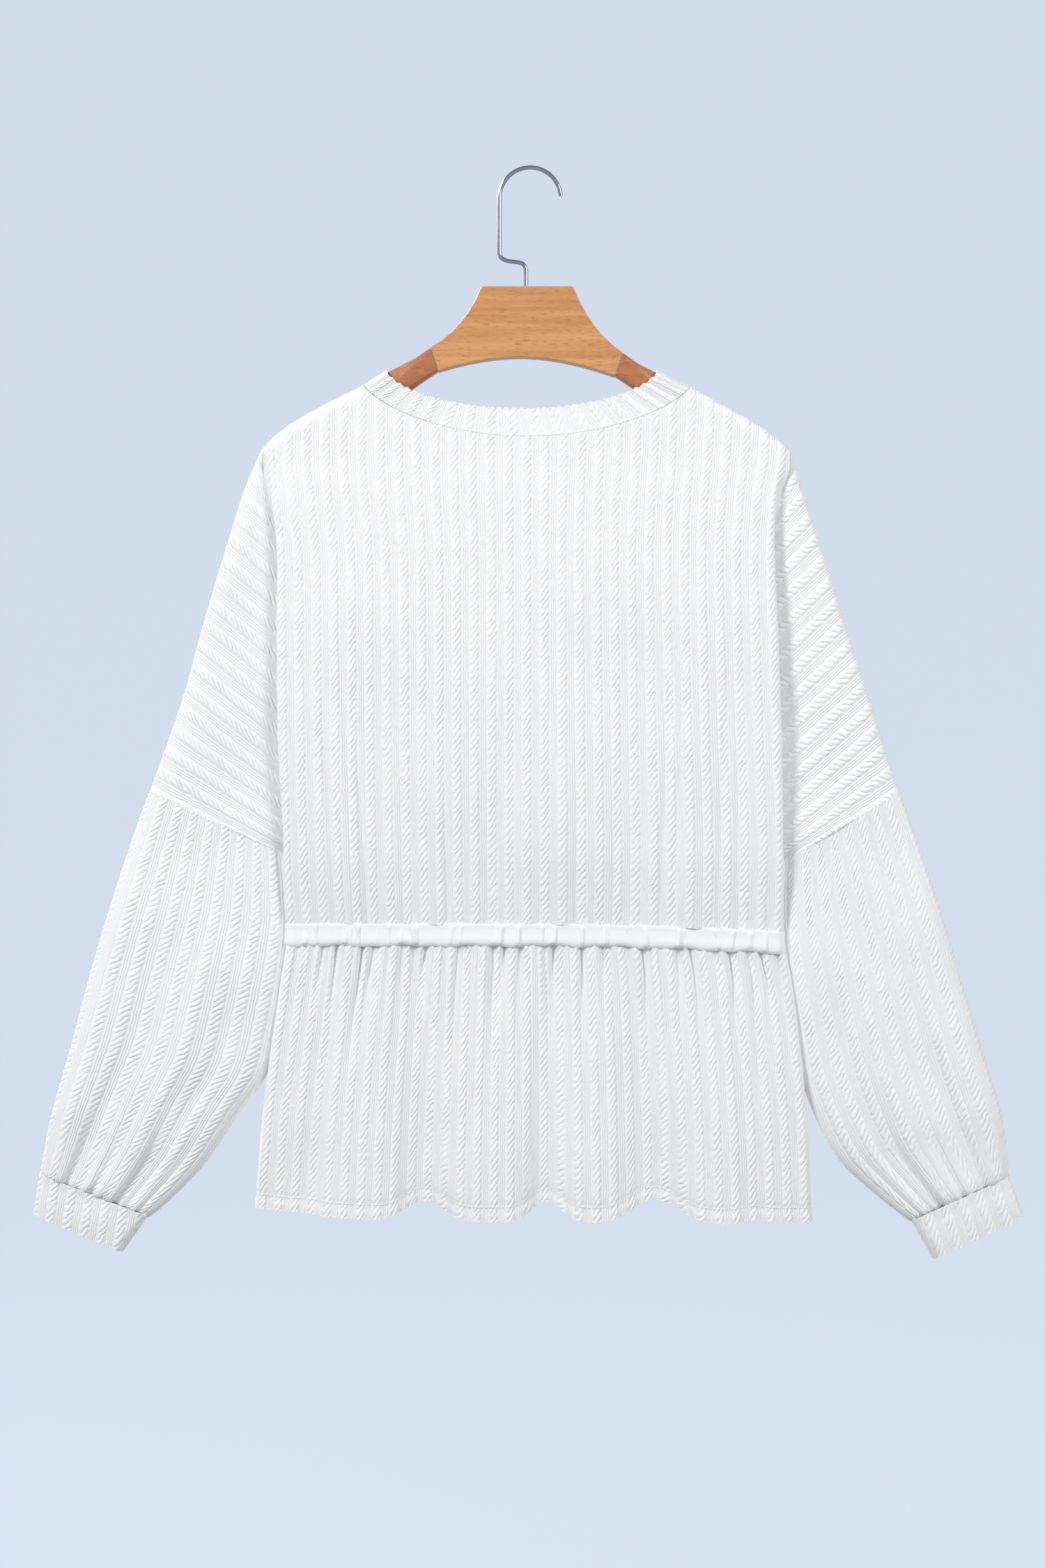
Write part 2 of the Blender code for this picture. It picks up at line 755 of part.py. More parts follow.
def ring_point(side, share, angle, half, depth):
    """Place on a flattened ring: a nearly flat face with a quarter turn at each side."""
    turn = math.radians(angle)
    across = share * (half - FOLD_ROLL) + FOLD_ROLL * math.sin(turn)
    return side * across, depth * thinning(share) * math.cos(turn)


def waist_casing():
    cloth = Cloth()
    columns = []
    for facing in (BACK, FRONT):
        stations = panel_stations(CASING_STEPS, (35.0, 65.0, 90.0))
        if facing == FRONT:
            stations = list(reversed(stations))[1:-1]
        for n, (side, share, angle) in enumerate(stations):
            half = getattr(BODY[-1], side_name(side))
            pucker = 0.35 if n % 2 else 0.0
            column = []
            for row in CASING:
                proud = row.proud * (1.0 - 0.6 * math.sin(math.radians(angle)))
                x, depth = ring_point(side, share, angle, half, PEPLUM_TOP_DEPTH + proud)
                x += side * proud * math.sin(math.radians(angle))
                seams = [UP] if row in (CASING[0], CASING[-1]) else []
                z = waist_z(x) - row.down
                z -= SEAM_GAP if row is CASING[0] else 0.0
                y = facing * depth
                column.append(cloth.point(x, y, z, 0.0 if seams else pucker, seams))
            columns.append(column)
    columns.append(columns[0])
    cloth.grid([list(row) for row in zip(*columns)])
    return cloth.build("waist_casing", plain_cloth)


def peplum(name, facing):
    waves = BACK_WAVES if facing == BACK else FRONT_WAVES
    gathers = BACK_GATHERS if facing == BACK else FRONT_GATHERS
    cloth = Cloth()
    columns = []
    for side, share, angle in panel_stations(PEPLUM_STEPS, (50.0, 90.0)):
        column = []
        tip = angle == 90.0
        for row, fall in enumerate(PEPLUM_ROWS):
            top_x = side * share * WAIST_HALF
            lift = 0.0
            push = 0.0
            place = side * share * lerp(WAIST_HALF, 228.0, fall)
            for wave in waves:
                centre = lerp(wave.top_x, wave.hem_x, fall)
                width = wave.width * lerp(0.5, 1.0, fall)
                shape = math.exp(-((place - centre) / width) ** 4)
                push += wave.push * shape * fall ** 1.3
                lift += wave.lift * shape * fall ** 2
            pleat = sum(math.exp(-((top_x - x) / 5.0) ** 2) for x in gathers)
            pleat = 1.8 * min(pleat, 1.0) * (1.0 - fall) ** 2 * smooth(fall * 12.0 + 0.3)
            top = waist_z(top_x) - CASING_HEIGHT - SEAM_GAP
            hem_tilt = 9.0 * clamp(-place / 225.0) ** 3 - 2.0 * clamp(place / 120.0)
            z = lerp(top, -HEM_DROP + hem_tilt, fall) + lift
            half = read(PEPLUM_SIDE, "down", -z, side_name(side))
            base = lerp(PEPLUM_TOP_DEPTH, HEM_FLARE_DEPTH, smooth(fall * 0.9))
            side_thin = lerp(1.0, 0.55, smooth((share - 0.7) / 0.3) * fall)
            x, depth = ring_point(side, share, angle, half, base * side_thin)
            depth -= push + pleat if share < 1.0 else 0.0
            if tip:
                depth = HALF_SEAM_GAP
            seams = []
            if row in (0, len(PEPLUM_ROWS) - 1):
                seams.append(UP)
            if tip:
                seams.append(THROUGH)
            relief = cable(top_x * 1.14) if 0 < row and share < 1.0 else 0.0
            column.append(cloth.point(x, facing * depth, z, relief, seams))
        columns.append(column)
    cloth.grid([list(row) for row in zip(*columns)])
    return cloth.build(name, knit, flip=(facing == FRONT))


# The wooden hanger

ArmRow = namedtuple("ArmRow", "top_across top_z low_across low_z half square")
ARM_LOWER_DROP = 27.5


def arm_rows(side):
    """Sections of one arm from its joint with the middle block to its tip."""
    joint_top_z = -147.0 if side == LEFT else -151.5
    joint_low_z = -166.5 if side == LEFT else -170.5
    rows = [ArmRow(79.3, joint_top_z, 72.9, joint_low_z, WOOD_HALF_THICKNESS, 6.0)]
    rows.append(ArmRow(92.0, seat_z(92.0, side) - 0.4, 87.0, joint_low_z - 9.5, 6.4, 4.0))
    for across, half in ((104.0, 6.2), (115.0, 6.0), (134.0, 6.0), (160.0, 6.0), (186.0, 5.6)):
        top = seat_z(across, side)
        rows.append(ArmRow(across, top, across, top - ARM_LOWER_DROP, half, 2.0))
    rows.append(ArmRow(200.0, seat_z(200.0, side) - 1.0, 199.0, seat_z(199.0, side) - 23.0, 5.0, 2.0))
    rows.append(ArmRow(204.0, seat_z(204.0, side) - 7.0, 204.0, seat_z(204.0, side) - 16.0, 3.0, 2.0))
    return rows


def seat_z(across, side):
    """Height of the arm's top, just under the cloth that hangs from it."""
    slope = (shoulder_z(across + 5.0, side) - shoulder_z(across - 5.0, side)) / 10.0
    return shoulder_z(across, side) - (WALL / 2 + ARM_SEAT) * math.hypot(1.0, slope)


def hanger_arm(name, side):
    mesh = bmesh.new()
    rings = []
    corners = 16
    for row in arm_rows(side):
        ring = []
        for k in range(corners):
            turn = 2.0 * math.pi * (k + 0.5) / corners
            cosine = math.cos(turn)
            sine = math.sin(turn)
            y = row.half * math.copysign(abs(cosine) ** (2.0 / row.square), cosine)
            rise = 0.5 + 0.5 * math.copysign(abs(sine) ** (2.0 / row.square), sine)
            across = lerp(row.low_across, row.top_across, rise)
            z = lerp(row.low_z, row.top_z, rise)
            ring.append(mesh.verts.new((side * across * MM + PLAN_SHIFT * MM, y * MM, z * MM)))
        rings.append(ring)
    for first, second in zip(rings, rings[1:]):
        for k in range(corners):
            n = (k + 1) % corners
            mesh.faces.new((first[k], first[n], second[n], second[k]))
    mesh.faces.new(list(reversed(rings[0])))
    mesh.faces.new(rings[-1])
    bmesh.ops.recalc_face_normals(mesh, faces=mesh.faces)
    return finish_mesh(mesh, name, arm_wood)


def bend(start, control, end, steps):
    """Points of a quadratic curve, without its first."""
    points = []
    for k in range(1, steps + 1):
        t = k / steps
        x = (1 - t) ** 2 * start[0] + 2 * t * (1 - t) * control[0] + t * t * end[0]
        z = (1 - t) ** 2 * start[1] + 2 * t * (1 - t) * control[1] + t * t * end[1]
        points.append((x, z))
    return points


def hanger_centre():
    left_top = (-79.0, -147.0)
    left_low = (-72.6, -166.5)
    right_low = (72.6, -170.5)
    right_top = (79.0, -151.5)
    outline = [left_top]
    outline += bend(left_top, (-52.0, -132.0), (-38.5, -100.0), 6)
    outline += bend((-38.5, -100.0), (-37.6, CENTRE_TOP_Z), (-34.5, CENTRE_TOP_Z), 2)
    outline += [(35.5, CENTRE_TOP_Z)]
    outline += bend((35.5, CENTRE_TOP_Z), (38.6, CENTRE_TOP_Z), (39.5, -100.0), 2)
    outline += bend((39.5, -100.0), (53.0, -134.0), right_top, 6)
    outline += [right_low]
    outline += bend(right_low, (30.0, -155.5), (-2.0, -155.0), 6)
    outline += bend((-2.0, -155.0), (-34.0, -154.5), left_low, 6)
    curve = bpy.data.curves.new("hanger_centre", "CURVE")
    curve.dimensions = "2D"
    curve.fill_mode = "BOTH"
    curve.extrude = WOOD_HALF_THICKNESS * MM
    line = curve.splines.new("POLY")
    line.points.add(len(outline) - 1)
    for point, (x, z) in zip(line.points, outline):
        point.co = (x * MM, z * MM, 0.0, 1.0)
    line.use_cyclic_u = True
    curve.materials.append(centre_wood)
    block = bpy.data.objects.new("hanger_centre", curve)
    block.rotation_euler = (math.radians(90.0), 0.0, 0.0)
    block.location = (PLAN_SHIFT * MM, 0.0, 0.0)
    collection.objects.link(block)
    weld = block.modifiers.new("weld", "WELD")
    weld.merge_threshold = 0.00001
    arris = block.modifiers.new("arris", "BEVEL")
    arris.width = BOARD_ARRIS * MM
    arris.segments = 2
    arris.limit_method = "ANGLE"
    arris.angle_limit = math.radians(60.0)
    return block


def hanger_hook():
    """The wire's middle line: a straight shank, a crank to the left and the round hook."""
    stem_x = PLAN_SHIFT - 0.5
    upright_x = -HOOK_RADIUS
    centre_z = WIRE_RADIUS - HOOK_RADIUS
    route = [(stem_x, CENTRE_TOP_Z + 0.3), (stem_x, -84.0)]
    route += bend(route[-1], (stem_x, -77.5), (stem_x - 5.5, -76.5), 4)
    route += [(stem_x - 12.5, -75.5)]
    route += bend(route[-1], (upright_x, -74.5), (upright_x, -68.5), 4)
    route += [(upright_x, -46.0)]
    turns = 16
    for k in range(turns + 1):
        turn = math.radians(lerp(180.0, 4.0, k / turns))
        route.append((HOOK_RADIUS * math.cos(turn), centre_z + HOOK_RADIUS * math.sin(turn)))
    curve = bpy.data.curves.new("hanger_hook", "CURVE")
    curve.dimensions = "3D"
    curve.bevel_depth = WIRE_RADIUS * MM
    curve.bevel_resolution = 1
    curve.use_fill_caps = True
    line = curve.splines.new("POLY")
    line.points.add(len(route) - 1)
    for point, (x, z) in zip(line.points, route):
        point.co = (x * MM, 0.0, z * MM, 1.0)
    curve.materials.append(chrome)
    wire = bpy.data.objects.new("hanger_hook", curve)
    collection.objects.link(wire)
    return wire


for old in list(bpy.data.objects):
    bpy.data.objects.remove(old, do_unlink=True)

collection = bpy.data.collections.new("peplum_top")
bpy.context.scene.collection.children.link(collection)

knit = make_material("knit", (0.86, 0.86, 0.85), 0.9)
plain_cloth = make_material("plain_cloth", (0.9, 0.9, 0.9), 0.8)
centre_wood = make_material("centre_wood", (0.66, 0.36, 0.14), 0.45)
arm_wood = make_material("arm_wood", (0.5, 0.22, 0.08), 0.45)
chrome = make_material("chrome", (0.55, 0.56, 0.58), 0.2, 1.0)

bodice("bodice_back", BACK)
bodice("bodice_front", FRONT)
neckband()
for hand in (LEFT, RIGHT):
    sleeve("sleeve_" + side_name(hand), hand)
    cuff("cuff_" + side_name(hand), hand)
    hanger_arm("hanger_arm_" + side_name(hand), hand)
waist_casing()
peplum("peplum_back", BACK)
peplum("peplum_front", FRONT)
hanger_centre()
hanger_hook()
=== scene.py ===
"""Dresses the peplum top: fine cloth shells on the forms of its solids, stitches, wood and wire.

Lengths are in millimetres until a mesh is made, and MM turns them into metres. The tables and
curves are those of the part, so every shell lies where its solid does. The back faces -Y.
"""
import math
from collections import namedtuple

import bpy
import numpy as np
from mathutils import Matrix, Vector

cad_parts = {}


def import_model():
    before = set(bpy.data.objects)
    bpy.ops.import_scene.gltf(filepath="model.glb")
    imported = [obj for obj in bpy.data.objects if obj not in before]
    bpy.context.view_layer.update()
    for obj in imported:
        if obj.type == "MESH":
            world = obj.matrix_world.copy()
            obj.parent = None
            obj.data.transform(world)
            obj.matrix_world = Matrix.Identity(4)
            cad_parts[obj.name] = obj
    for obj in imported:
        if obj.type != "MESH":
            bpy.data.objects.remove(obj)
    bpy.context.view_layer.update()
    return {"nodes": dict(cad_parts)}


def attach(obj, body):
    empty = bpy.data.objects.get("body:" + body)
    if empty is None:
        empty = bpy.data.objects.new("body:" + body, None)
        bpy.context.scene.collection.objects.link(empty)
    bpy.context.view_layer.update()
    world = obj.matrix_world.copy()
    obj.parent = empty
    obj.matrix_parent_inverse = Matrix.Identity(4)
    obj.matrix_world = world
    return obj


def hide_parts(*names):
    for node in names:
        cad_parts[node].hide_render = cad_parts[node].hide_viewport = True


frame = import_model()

MM = 0.001
BACK = -1
FRONT = 1
LEFT = -1
RIGHT = 1

# Sizes shared with the part
SEAM_GAP = 0.4
HALF_SEAM_GAP = 0.15
PLAN_SHIFT = -2.9
SIDE_THINNING = 0.15
OUTER_ROUNDING = 16.0
INNER_ROUNDING = 40.0
NECK_HALF = 134.0
BAND_TOP_HALF = 111.0
BAND_TOP_CENTRE = -4.0
BAND_TOP_Z = -165.7
BACK_BAND_DROP = 32.4
BACK_SEAM_Z = -221.0
FRONT_NECK_DROP = 52.0
SHOULDER_HALF = 209.0
ARCH_DEPTH = 10.0
ARCH_DROP = 9.0
SHOULDER_EASE = 60.0
TOP_SPREAD_DROP = 50.0
FOLD_ROLL = 5.0
WAIST_Z = -620.5
WAIST_DIP = 7.0
WAIST_HALF = 211.0
CASING_HEIGHT = 17.0
CASING_LAP = 0.8
PEPLUM_TUCK = 2.4
CUFF_LAP = 1.2
PEPLUM_TOP_DEPTH = 14.0
SLEEVE_SEAM_OUTER_DROP = 511.5
SLEEVE_TOP_INNER_DOWN = {LEFT: 563.0, RIGHT: 569.0}
FOLD_REACH = 6.5
PEPLUM_HALF = 228.0
HEM_DROP = 862.0
HEM_FLARE_DEPTH = 25.0
WIRE_RADIUS = 1.75
HOOK_RADIUS = 25.2
CENTRE_TOP_Z = -97.0

# The cloth's own sizes
CLOTH_THICKNESS = 1.1
CABLE_PITCH = 15.0
CABLE_HALF_WIDTH = 4.4
CABLE_RELIEF = 0.28
SCALLOP_PITCH = CABLE_PITCH / 2
HEM_DEPTH = 12.0
BAND_WIDTH = 23.0
BAND_CABLES = 42.0
SLEEVE_LENGTH = 350.0
SLEEVE_CUT_HALF = 132.0
CUFF_LENGTH = 34.0
CUFF_ROUND = 190.0
PEPLUM_LENGTH = 225.0

# The knit, the weave and the thread in the materials, in metres
KNIT_PITCH = CABLE_PITCH * MM
KNIT_CABLE_WIDTH = 0.0092
KNIT_STROKE_LENGTH = 0.0058
KNIT_BUMP = 0.001
WEAVE_PITCH = 0.0011
WEAVE_BUMP = 0.00015
GRAIN_BUMP = 0.00008
STITCH_SPACING = 0.0034
STITCH_LENGTH = 0.0022

ShoulderRow = namedtuple("ShoulderRow", "across left right")
SHOULDER = (
    ShoulderRow(60.0, -136.0, -142.0),
    ShoulderRow(107.0, -161.5, -165.8),
    ShoulderRow(115.0, -165.6, -169.6),
    ShoulderRow(134.0, -177.6, -179.2),
    ShoulderRow(160.0, -191.0, -193.8),
    ShoulderRow(186.0, -205.0, -208.5),
    ShoulderRow(203.0, -216.5, -220.0),
    ShoulderRow(216.0, -229.0, -231.5),
)

OutlineRow = namedtuple("OutlineRow", "down left right")
OUTLINE = (
    OutlineRow(234.0, 219.0, 217.5),
    OutlineRow(262.0, 231.0, 225.5),
    OutlineRow(319.0, 249.0, 244.5),
    OutlineRow(376.0, 266.0, 262.0),
    OutlineRow(434.0, 282.0, 281.0),
    OutlineRow(491.0, 302.0, 299.0),
    OutlineRow(548.0, 323.0, 319.0),
    OutlineRow(606.0, 342.0, 339.0),
    OutlineRow(663.0, 359.0, 356.0),
    OutlineRow(720.0, 374.0, 373.0),
    OutlineRow(778.0, 390.5, 390.5),
    OutlineRow(826.0, 400.0, 396.5),
)

BodyRow = namedtuple("BodyRow", "down left right depth wing tuck")
BODY = (
    BodyRow(180.0, 214.0, 214.0, 11.0, 8.5, 8.0),
    BodyRow(240.0, 214.0, 211.0, 13.0, 8.0, 8.0),
    BodyRow(271.0, 211.0, 207.0, 15.5, 6.0, 9.0),
    BodyRow(313.0, 205.5, 204.0, 18.0, 5.0, 13.0),
    BodyRow(375.0, 204.0, 205.0, 20.5, 5.0, 12.0),
    BodyRow(467.0, 203.0, 208.0, 21.5, 5.0, 12.0),
    BodyRow(560.0, 200.5, 212.0, 20.0, 5.0, 12.0),
    BodyRow(594.0, 199.0, 211.5, 17.0, 5.0, 12.0),
    BodyRow(621.0, 197.0, 211.0, 14.0, 5.0, 12.0),
)

SideRow = namedtuple("SideRow", "down left right")
PEPLUM_SIDE = (
    SideRow(637.0, 197.5, 211.5),
    SideRow(672.0, 203.0, 219.0),
    SideRow(775.0, 216.5, 229.8),
    SideRow(865.0, 223.5, 234.0),
)
SLEEVE_INNER = (
    SideRow(566.0, 198.0, 209.5),
    SideRow(594.0, 195.0, 207.5),
    SideRow(621.0, 193.0, 207.0),
    SideRow(645.0, 194.5, 208.5),
    SideRow(700.0, 203.5, 217.5),
    SideRow(745.0, 215.0, 226.0),
    SideRow(778.0, 238.0, 237.5),
    SideRow(812.0, 261.0, 255.5),
    SideRow(835.0, 279.0, 277.0),
    SideRow(859.0, 298.0, 301.0),
)
FoldRow = namedtuple("FoldRow", "share weight")
FOLD_WEIGHT = (
    FoldRow(0.0, 0.0),
    FoldRow(0.09, 0.0),
    FoldRow(0.2, 0.5),
    FoldRow(0.36, 1.0),
    FoldRow(0.6, 1.0),
    FoldRow(0.8, 0.3),
    FoldRow(0.865, 0.0),
    FoldRow(1.0, 0.0),
)

Wave = namedtuple("Wave", "top_x hem_x push width lift")
BACK_WAVES = (
    Wave(-98.0, -87.0, 15.0, 23.0, 15.0),
    Wave(17.0, 16.0, 13.0, 18.0, 15.0),
    Wave(81.0, 105.0, 15.0, 27.0, 18.0),
    Wave(168.0, 186.0, 4.0, 14.0, 2.0),
    Wave(-168.0, -188.0, 4.0, 14.0, 1.0),
)
FRONT_WAVES = (
    Wave(-120.0, -138.0, 14.0, 24.0, 15.0),
    Wave(-28.0, -34.0, 13.0, 20.0, 14.0),
    Wave(66.0, 74.0, 15.0, 25.0, 16.0),
    Wave(140.0, 160.0, 9.0, 20.0, 9.0),
)
BACK_GATHERS = (
    -183, -172, -148, -137, -112, -103, -92, -62, -54, -31, -21, -8, 13, 21, 45, 63, 81, 96,
    124, 135, 155, 168, 183, 193, 206,
)
FRONT_GATHERS = tuple(-x + 4 for x in reversed(BACK_GATHERS))

CuffEnds = namedtuple("CuffEnds", "outer_top inner_top outer_bottom inner_bottom")
CUFFS = {
    LEFT: CuffEnds((400.0, 826.5), (311.5, 861.0), (405.0, 858.5), (332.5, 889.5)),
    RIGHT: CuffEnds((396.5, 828.5), (316.5, 864.5), (408.5, 861.0), (334.5, 895.5)),
}


def clamp(value):
    return np.clip(value, 0.0, 1.0)


def smooth(value):
    t = clamp(value)
    return t * t * (3.0 - 2.0 * t)


def lerp(a, b, t):
    return a + (b - a) * t


def side_name(side):
    return "left" if side == LEFT else "right"


def profile(rows, key, column):
    """A smooth curve through one named column of a table, for numbers or arrays."""
    keys = np.array([getattr(row, key) for row in rows])
    values = np.array([getattr(row, column) for row in rows])
    slopes = np.empty(len(keys))
    slopes[1:-1] = (values[2:] - values[:-2]) / (keys[2:] - keys[:-2])
    slopes[0] = (values[1] - values[0]) / (keys[1] - keys[0])
    slopes[-1] = (values[-1] - values[-2]) / (keys[-1] - keys[-2])
    places = [keys[0] - 12.0]
    heights = [values[0] - 12.0 * slopes[0]]
    for k in range(len(keys) - 1):
        width = keys[k + 1] - keys[k]
        t = np.linspace(0.0, 1.0, 40, endpoint=False)
        cubic = 2 * t ** 3 - 3 * t ** 2 + 1
        height = cubic * values[k] + (1.0 - cubic) * values[k + 1]
        height = height + (t ** 3 - 2 * t ** 2 + t) * width * slopes[k]
        height = height + (t ** 3 - t ** 2) * width * slopes[k + 1]
        places.extend(keys[k] + t * width)
        heights.extend(height)
    places.append(keys[-1])
    heights.append(values[-1])
    return lambda at: np.interp(at, places, heights)


SIDES = (LEFT, RIGHT)
shoulder_z = {side: profile(SHOULDER, "across", side_name(side)) for side in SIDES}
outline_x = {side: profile(OUTLINE, "down", side_name(side)) for side in SIDES}
fold_x = {side: profile(BODY, "down", side_name(side)) for side in SIDES}
peplum_x = {side: profile(PEPLUM_SIDE, "down", side_name(side)) for side in SIDES}
sleeve_inner_x = {side: profile(SLEEVE_INNER, "down", side_name(side)) for side in SIDES}
body_depth = profile(BODY, "down", "depth")
wing_depth = profile(BODY, "down", "wing")
tuck_width = profile(BODY, "down", "tuck")


def thinning(share):
    """How much flatter the body is towards its sides."""
    return 1.0 - SIDE_THINNING * share * share


def upper_depth(across, down, side):
    """Distance of the body's cloth from the middle plane, over the hanger's arm and below it."""
    drop = shoulder_z[side](across) + down
    arch = ARCH_DEPTH * np.sqrt(1.0 - (1.0 - clamp(drop / ARCH_DROP)) ** 2)
    share = across / (fold_x[side](down) - FOLD_ROLL)
    body = body_depth(down) * thinning(share)
    return HALF_SEAM_GAP + arch + (body - ARCH_DEPTH) * smooth(drop / SHOULDER_EASE)


def both_sides(u, make):
    """A value worked out with the left table where u is negative and the right one elsewhere."""
    return np.where(u < 0.0, make(LEFT), make(RIGHT))


def neck_drop(share, facing):
    if facing == BACK:
        return 0.0 * share
    return FRONT_NECK_DROP * clamp(1.0 - share * share) ** 1.5


def neck_seam_z(u, facing):
    corner = both_sides(u, lambda side: shoulder_z[side](NECK_HALF))
    share = np.abs(u) / NECK_HALF
    curve = (corner - BACK_SEAM_Z) * clamp(1.0 - share * share) ** 0.72
    return corner - curve - neck_drop(share, facing)


def waist_z(x):
    return WAIST_Z - WAIST_DIP * clamp(x / WAIST_HALF) ** 2


def cable_relief(position):
    """Height of the knit's raised cables over a run of cloth, in the cables' own spacing."""
    near = ((position / CABLE_PITCH + 0.5) % 1.0 - 0.5) * CABLE_PITCH / CABLE_HALF_WIDTH
    dome = np.cos(clamp(np.abs(near) / 1.25) * math.pi / 2) ** 1.4
    return CABLE_RELIEF * dome


def ridge(at, centre, width):
    """A soft ridge of height one across a run."""
    return np.exp(-((at - centre) / width) ** 2)


def ripple(x, y, seed, size):
    """A calm uneven surface, the same on every run."""
    rng = np.random.default_rng(seed)
    total = np.zeros_like(x)
    for _ in range(7):
        turn = rng.uniform(0.0, 2.0 * math.pi)
        wave = size * rng.uniform(0.6, 1.7)
        phase = rng.uniform(0.0, 2.0 * math.pi)
        total += np.sin((x * math.cos(turn) + y * math.sin(turn)) * 2.0 * math.pi / wave + phase)
    return total / 7.0


# Cloth shells

class Cloth:
    """Grids of points that become one closed thin shell each, with the cables raised outside."""

    def __init__(self, name, material):
        self.name = name
        self.material = material
        self.verts = []
        self.faces = []
        self.uvs = []
        self.count = 0

    def add(self, points, uv, relief, outward, closed=False):
        """Adds one grid of points (rows, columns, 3), raised on the side that outward tells."""
        rows, columns = points.shape[:2]
        if closed:
            along = np.roll(points, -1, axis=1) - np.roll(points, 1, axis=1)
        else:
            along = np.gradient(points, axis=1)
        down = np.gradient(points, axis=0)
        normal = np.cross(along, down)
        length = np.linalg.norm(normal, axis=2, keepdims=True)
        normal = normal / np.maximum(length, 1e-9) * outward
        half = CLOTH_THICKNESS / 2
        outer = points + normal * (half + relief[..., None])
        inner = points - normal * half
        start = self.count
        self.verts.append(outer.reshape(-1, 3))
        self.verts.append(inner.reshape(-1, 3))
        size = rows * columns
        self.count += 2 * size
        index = np.arange(size).reshape(rows, columns)
        uv = uv.reshape(-1, 2)
        wrap = columns if closed else columns - 1
        right = np.roll(index, -1, axis=1)[:, :wrap]
        left = index[:, :wrap]
        quads = np.stack((left[:-1], left[1:], right[1:], right[:-1]), axis=-1).reshape(-1, 4)
        if outward > 0:
            quads = quads[:, ::-1]
        quad_uv = uv[quads]
        if closed:
            width = uv[:, 0].max() - uv[:, 0].min()
            spread = quad_uv[:, :, 0].max(axis=1) - quad_uv[:, :, 0].min(axis=1)
            seam = spread > width * 0.5
            step = width / (columns - 1)
            low = quad_uv[seam][:, :, 0] < width * 0.5 + uv[:, 0].min()
            fixed = quad_uv[seam]
            fixed[:, :, 0] = np.where(low, fixed[:, :, 0] + width + step, fixed[:, :, 0])
            quad_uv[seam] = fixed
        self.faces.append(quads + start)
        self.uvs.append(quad_uv)
        self.faces.append(quads[:, ::-1] + start + size)
        self.uvs.append(quad_uv[:, ::-1])
        edges = [index[0], index[-1][::-1]]
        if closed:
            edges = [np.append(index[0], index[0, 0]), np.append(index[-1], index[-1, 0])[::-1]]
        else:
            edges += [index[::-1, 0], index[:, -1]]
        for edge in edges:
            a = edge[:-1]
            b = edge[1:]
            rim = np.stack((a, b, b + size, a + size), axis=-1)
            if outward > 0:
                rim = rim[:, ::-1]
            rim_uv = np.stack((uv[a], uv[a], uv[a], uv[a]), axis=1)
            self.faces.append(rim + start)
            self.uvs.append(rim_uv)

    def finish(self):
        verts = np.concatenate(self.verts) + np.array((PLAN_SHIFT, 0.0, 0.0))
        faces = np.concatenate(self.faces)
        uvs = np.concatenate(self.uvs).reshape(-1, 2)
        mesh = bpy.data.meshes.new(self.name)
        mesh.from_pydata((verts * MM).tolist(), [], faces.tolist())
        layer = mesh.uv_layers.new(name="cloth")
        layer.data.foreach_set("uv", (uvs * MM).ravel())
        mesh.materials.append(self.material)
        mesh.shade_smooth()
        mesh.set_sharp_from_angle(angle=math.radians(60.0))
        piece = bpy.data.objects.new(self.name, mesh)
        bpy.context.scene.collection.objects.link(piece)
        return piece


# Materials

def new_material(name):
    material = bpy.data.materials.new(name)
    material.use_nodes = True
    return material, material.node_tree, material.node_tree.nodes["Principled BSDF"]


def new_group(name, inputs, outputs):
    """A node group with named sockets: inputs are (kind, name, value), outputs (kind, name)."""
    tree = bpy.data.node_groups.new(name, "ShaderNodeTree")
    for kind, label, value in inputs:
        socket = tree.interface.new_socket(label, in_out="INPUT", socket_type="NodeSocket" + kind)
        if value is not None:
            socket.default_value = value
    for kind, label in outputs:
        tree.interface.new_socket(label, in_out="OUTPUT", socket_type="NodeSocket" + kind)
    source = tree.nodes.new("NodeGroupInput")
    sink = tree.nodes.new("NodeGroupOutput")
    return tree, source.outputs, sink.inputs


def wire(tree, value, socket):
    if hasattr(value, "is_output"):
        tree.links.new(value, socket)
    else:
        socket.default_value = value


def calc(tree, operation, first, second=0.0, third=0.0):
    node = tree.nodes.new("ShaderNodeMath")
    node.operation = operation
    for value, socket in zip((first, second, third), node.inputs):
        wire(tree, value, socket)
    return node.outputs[0]


def ease(tree, value, low, high):
    node = tree.nodes.new("ShaderNodeMapRange")
    node.interpolation_type = "SMOOTHSTEP"
    for entry, socket in zip((value, low, high, 0.0, 1.0), node.inputs):
        wire(tree, entry, socket)
    return node.outputs[0]


def noise(tree, place, scale, detail=2.0):
    node = tree.nodes.new("ShaderNodeTexNoise")
    wire(tree, place, node.inputs["Vector"])
    node.inputs["Scale"].default_value = scale
    node.inputs["Detail"].default_value = detail
    return node.outputs["Fac"]


def stretched(tree, place, scale):
    node = tree.nodes.new("ShaderNodeMapping")
    wire(tree, place, node.inputs["Vector"])
    node.inputs["Scale"].default_value = scale
    return node.outputs["Vector"]


def blend_colour(tree, share, first, second):
    node = tree.nodes.new("ShaderNodeMix")
    node.data_type = "RGBA"
    wire(tree, share, node.inputs[0])
    for value, socket in ((first, node.inputs[6]), (second, node.inputs[7])):
        wire(tree, value if hasattr(value, "is_output") else (*value, 1.0), socket)
    return node.outputs[2]


def place_group(tree, group, **values):
    node = tree.nodes.new("ShaderNodeGroup")
    node.node_tree = group
    for label, value in values.items():
        wire(tree, value, node.inputs[label.replace("_", " ")])
    return node.outputs


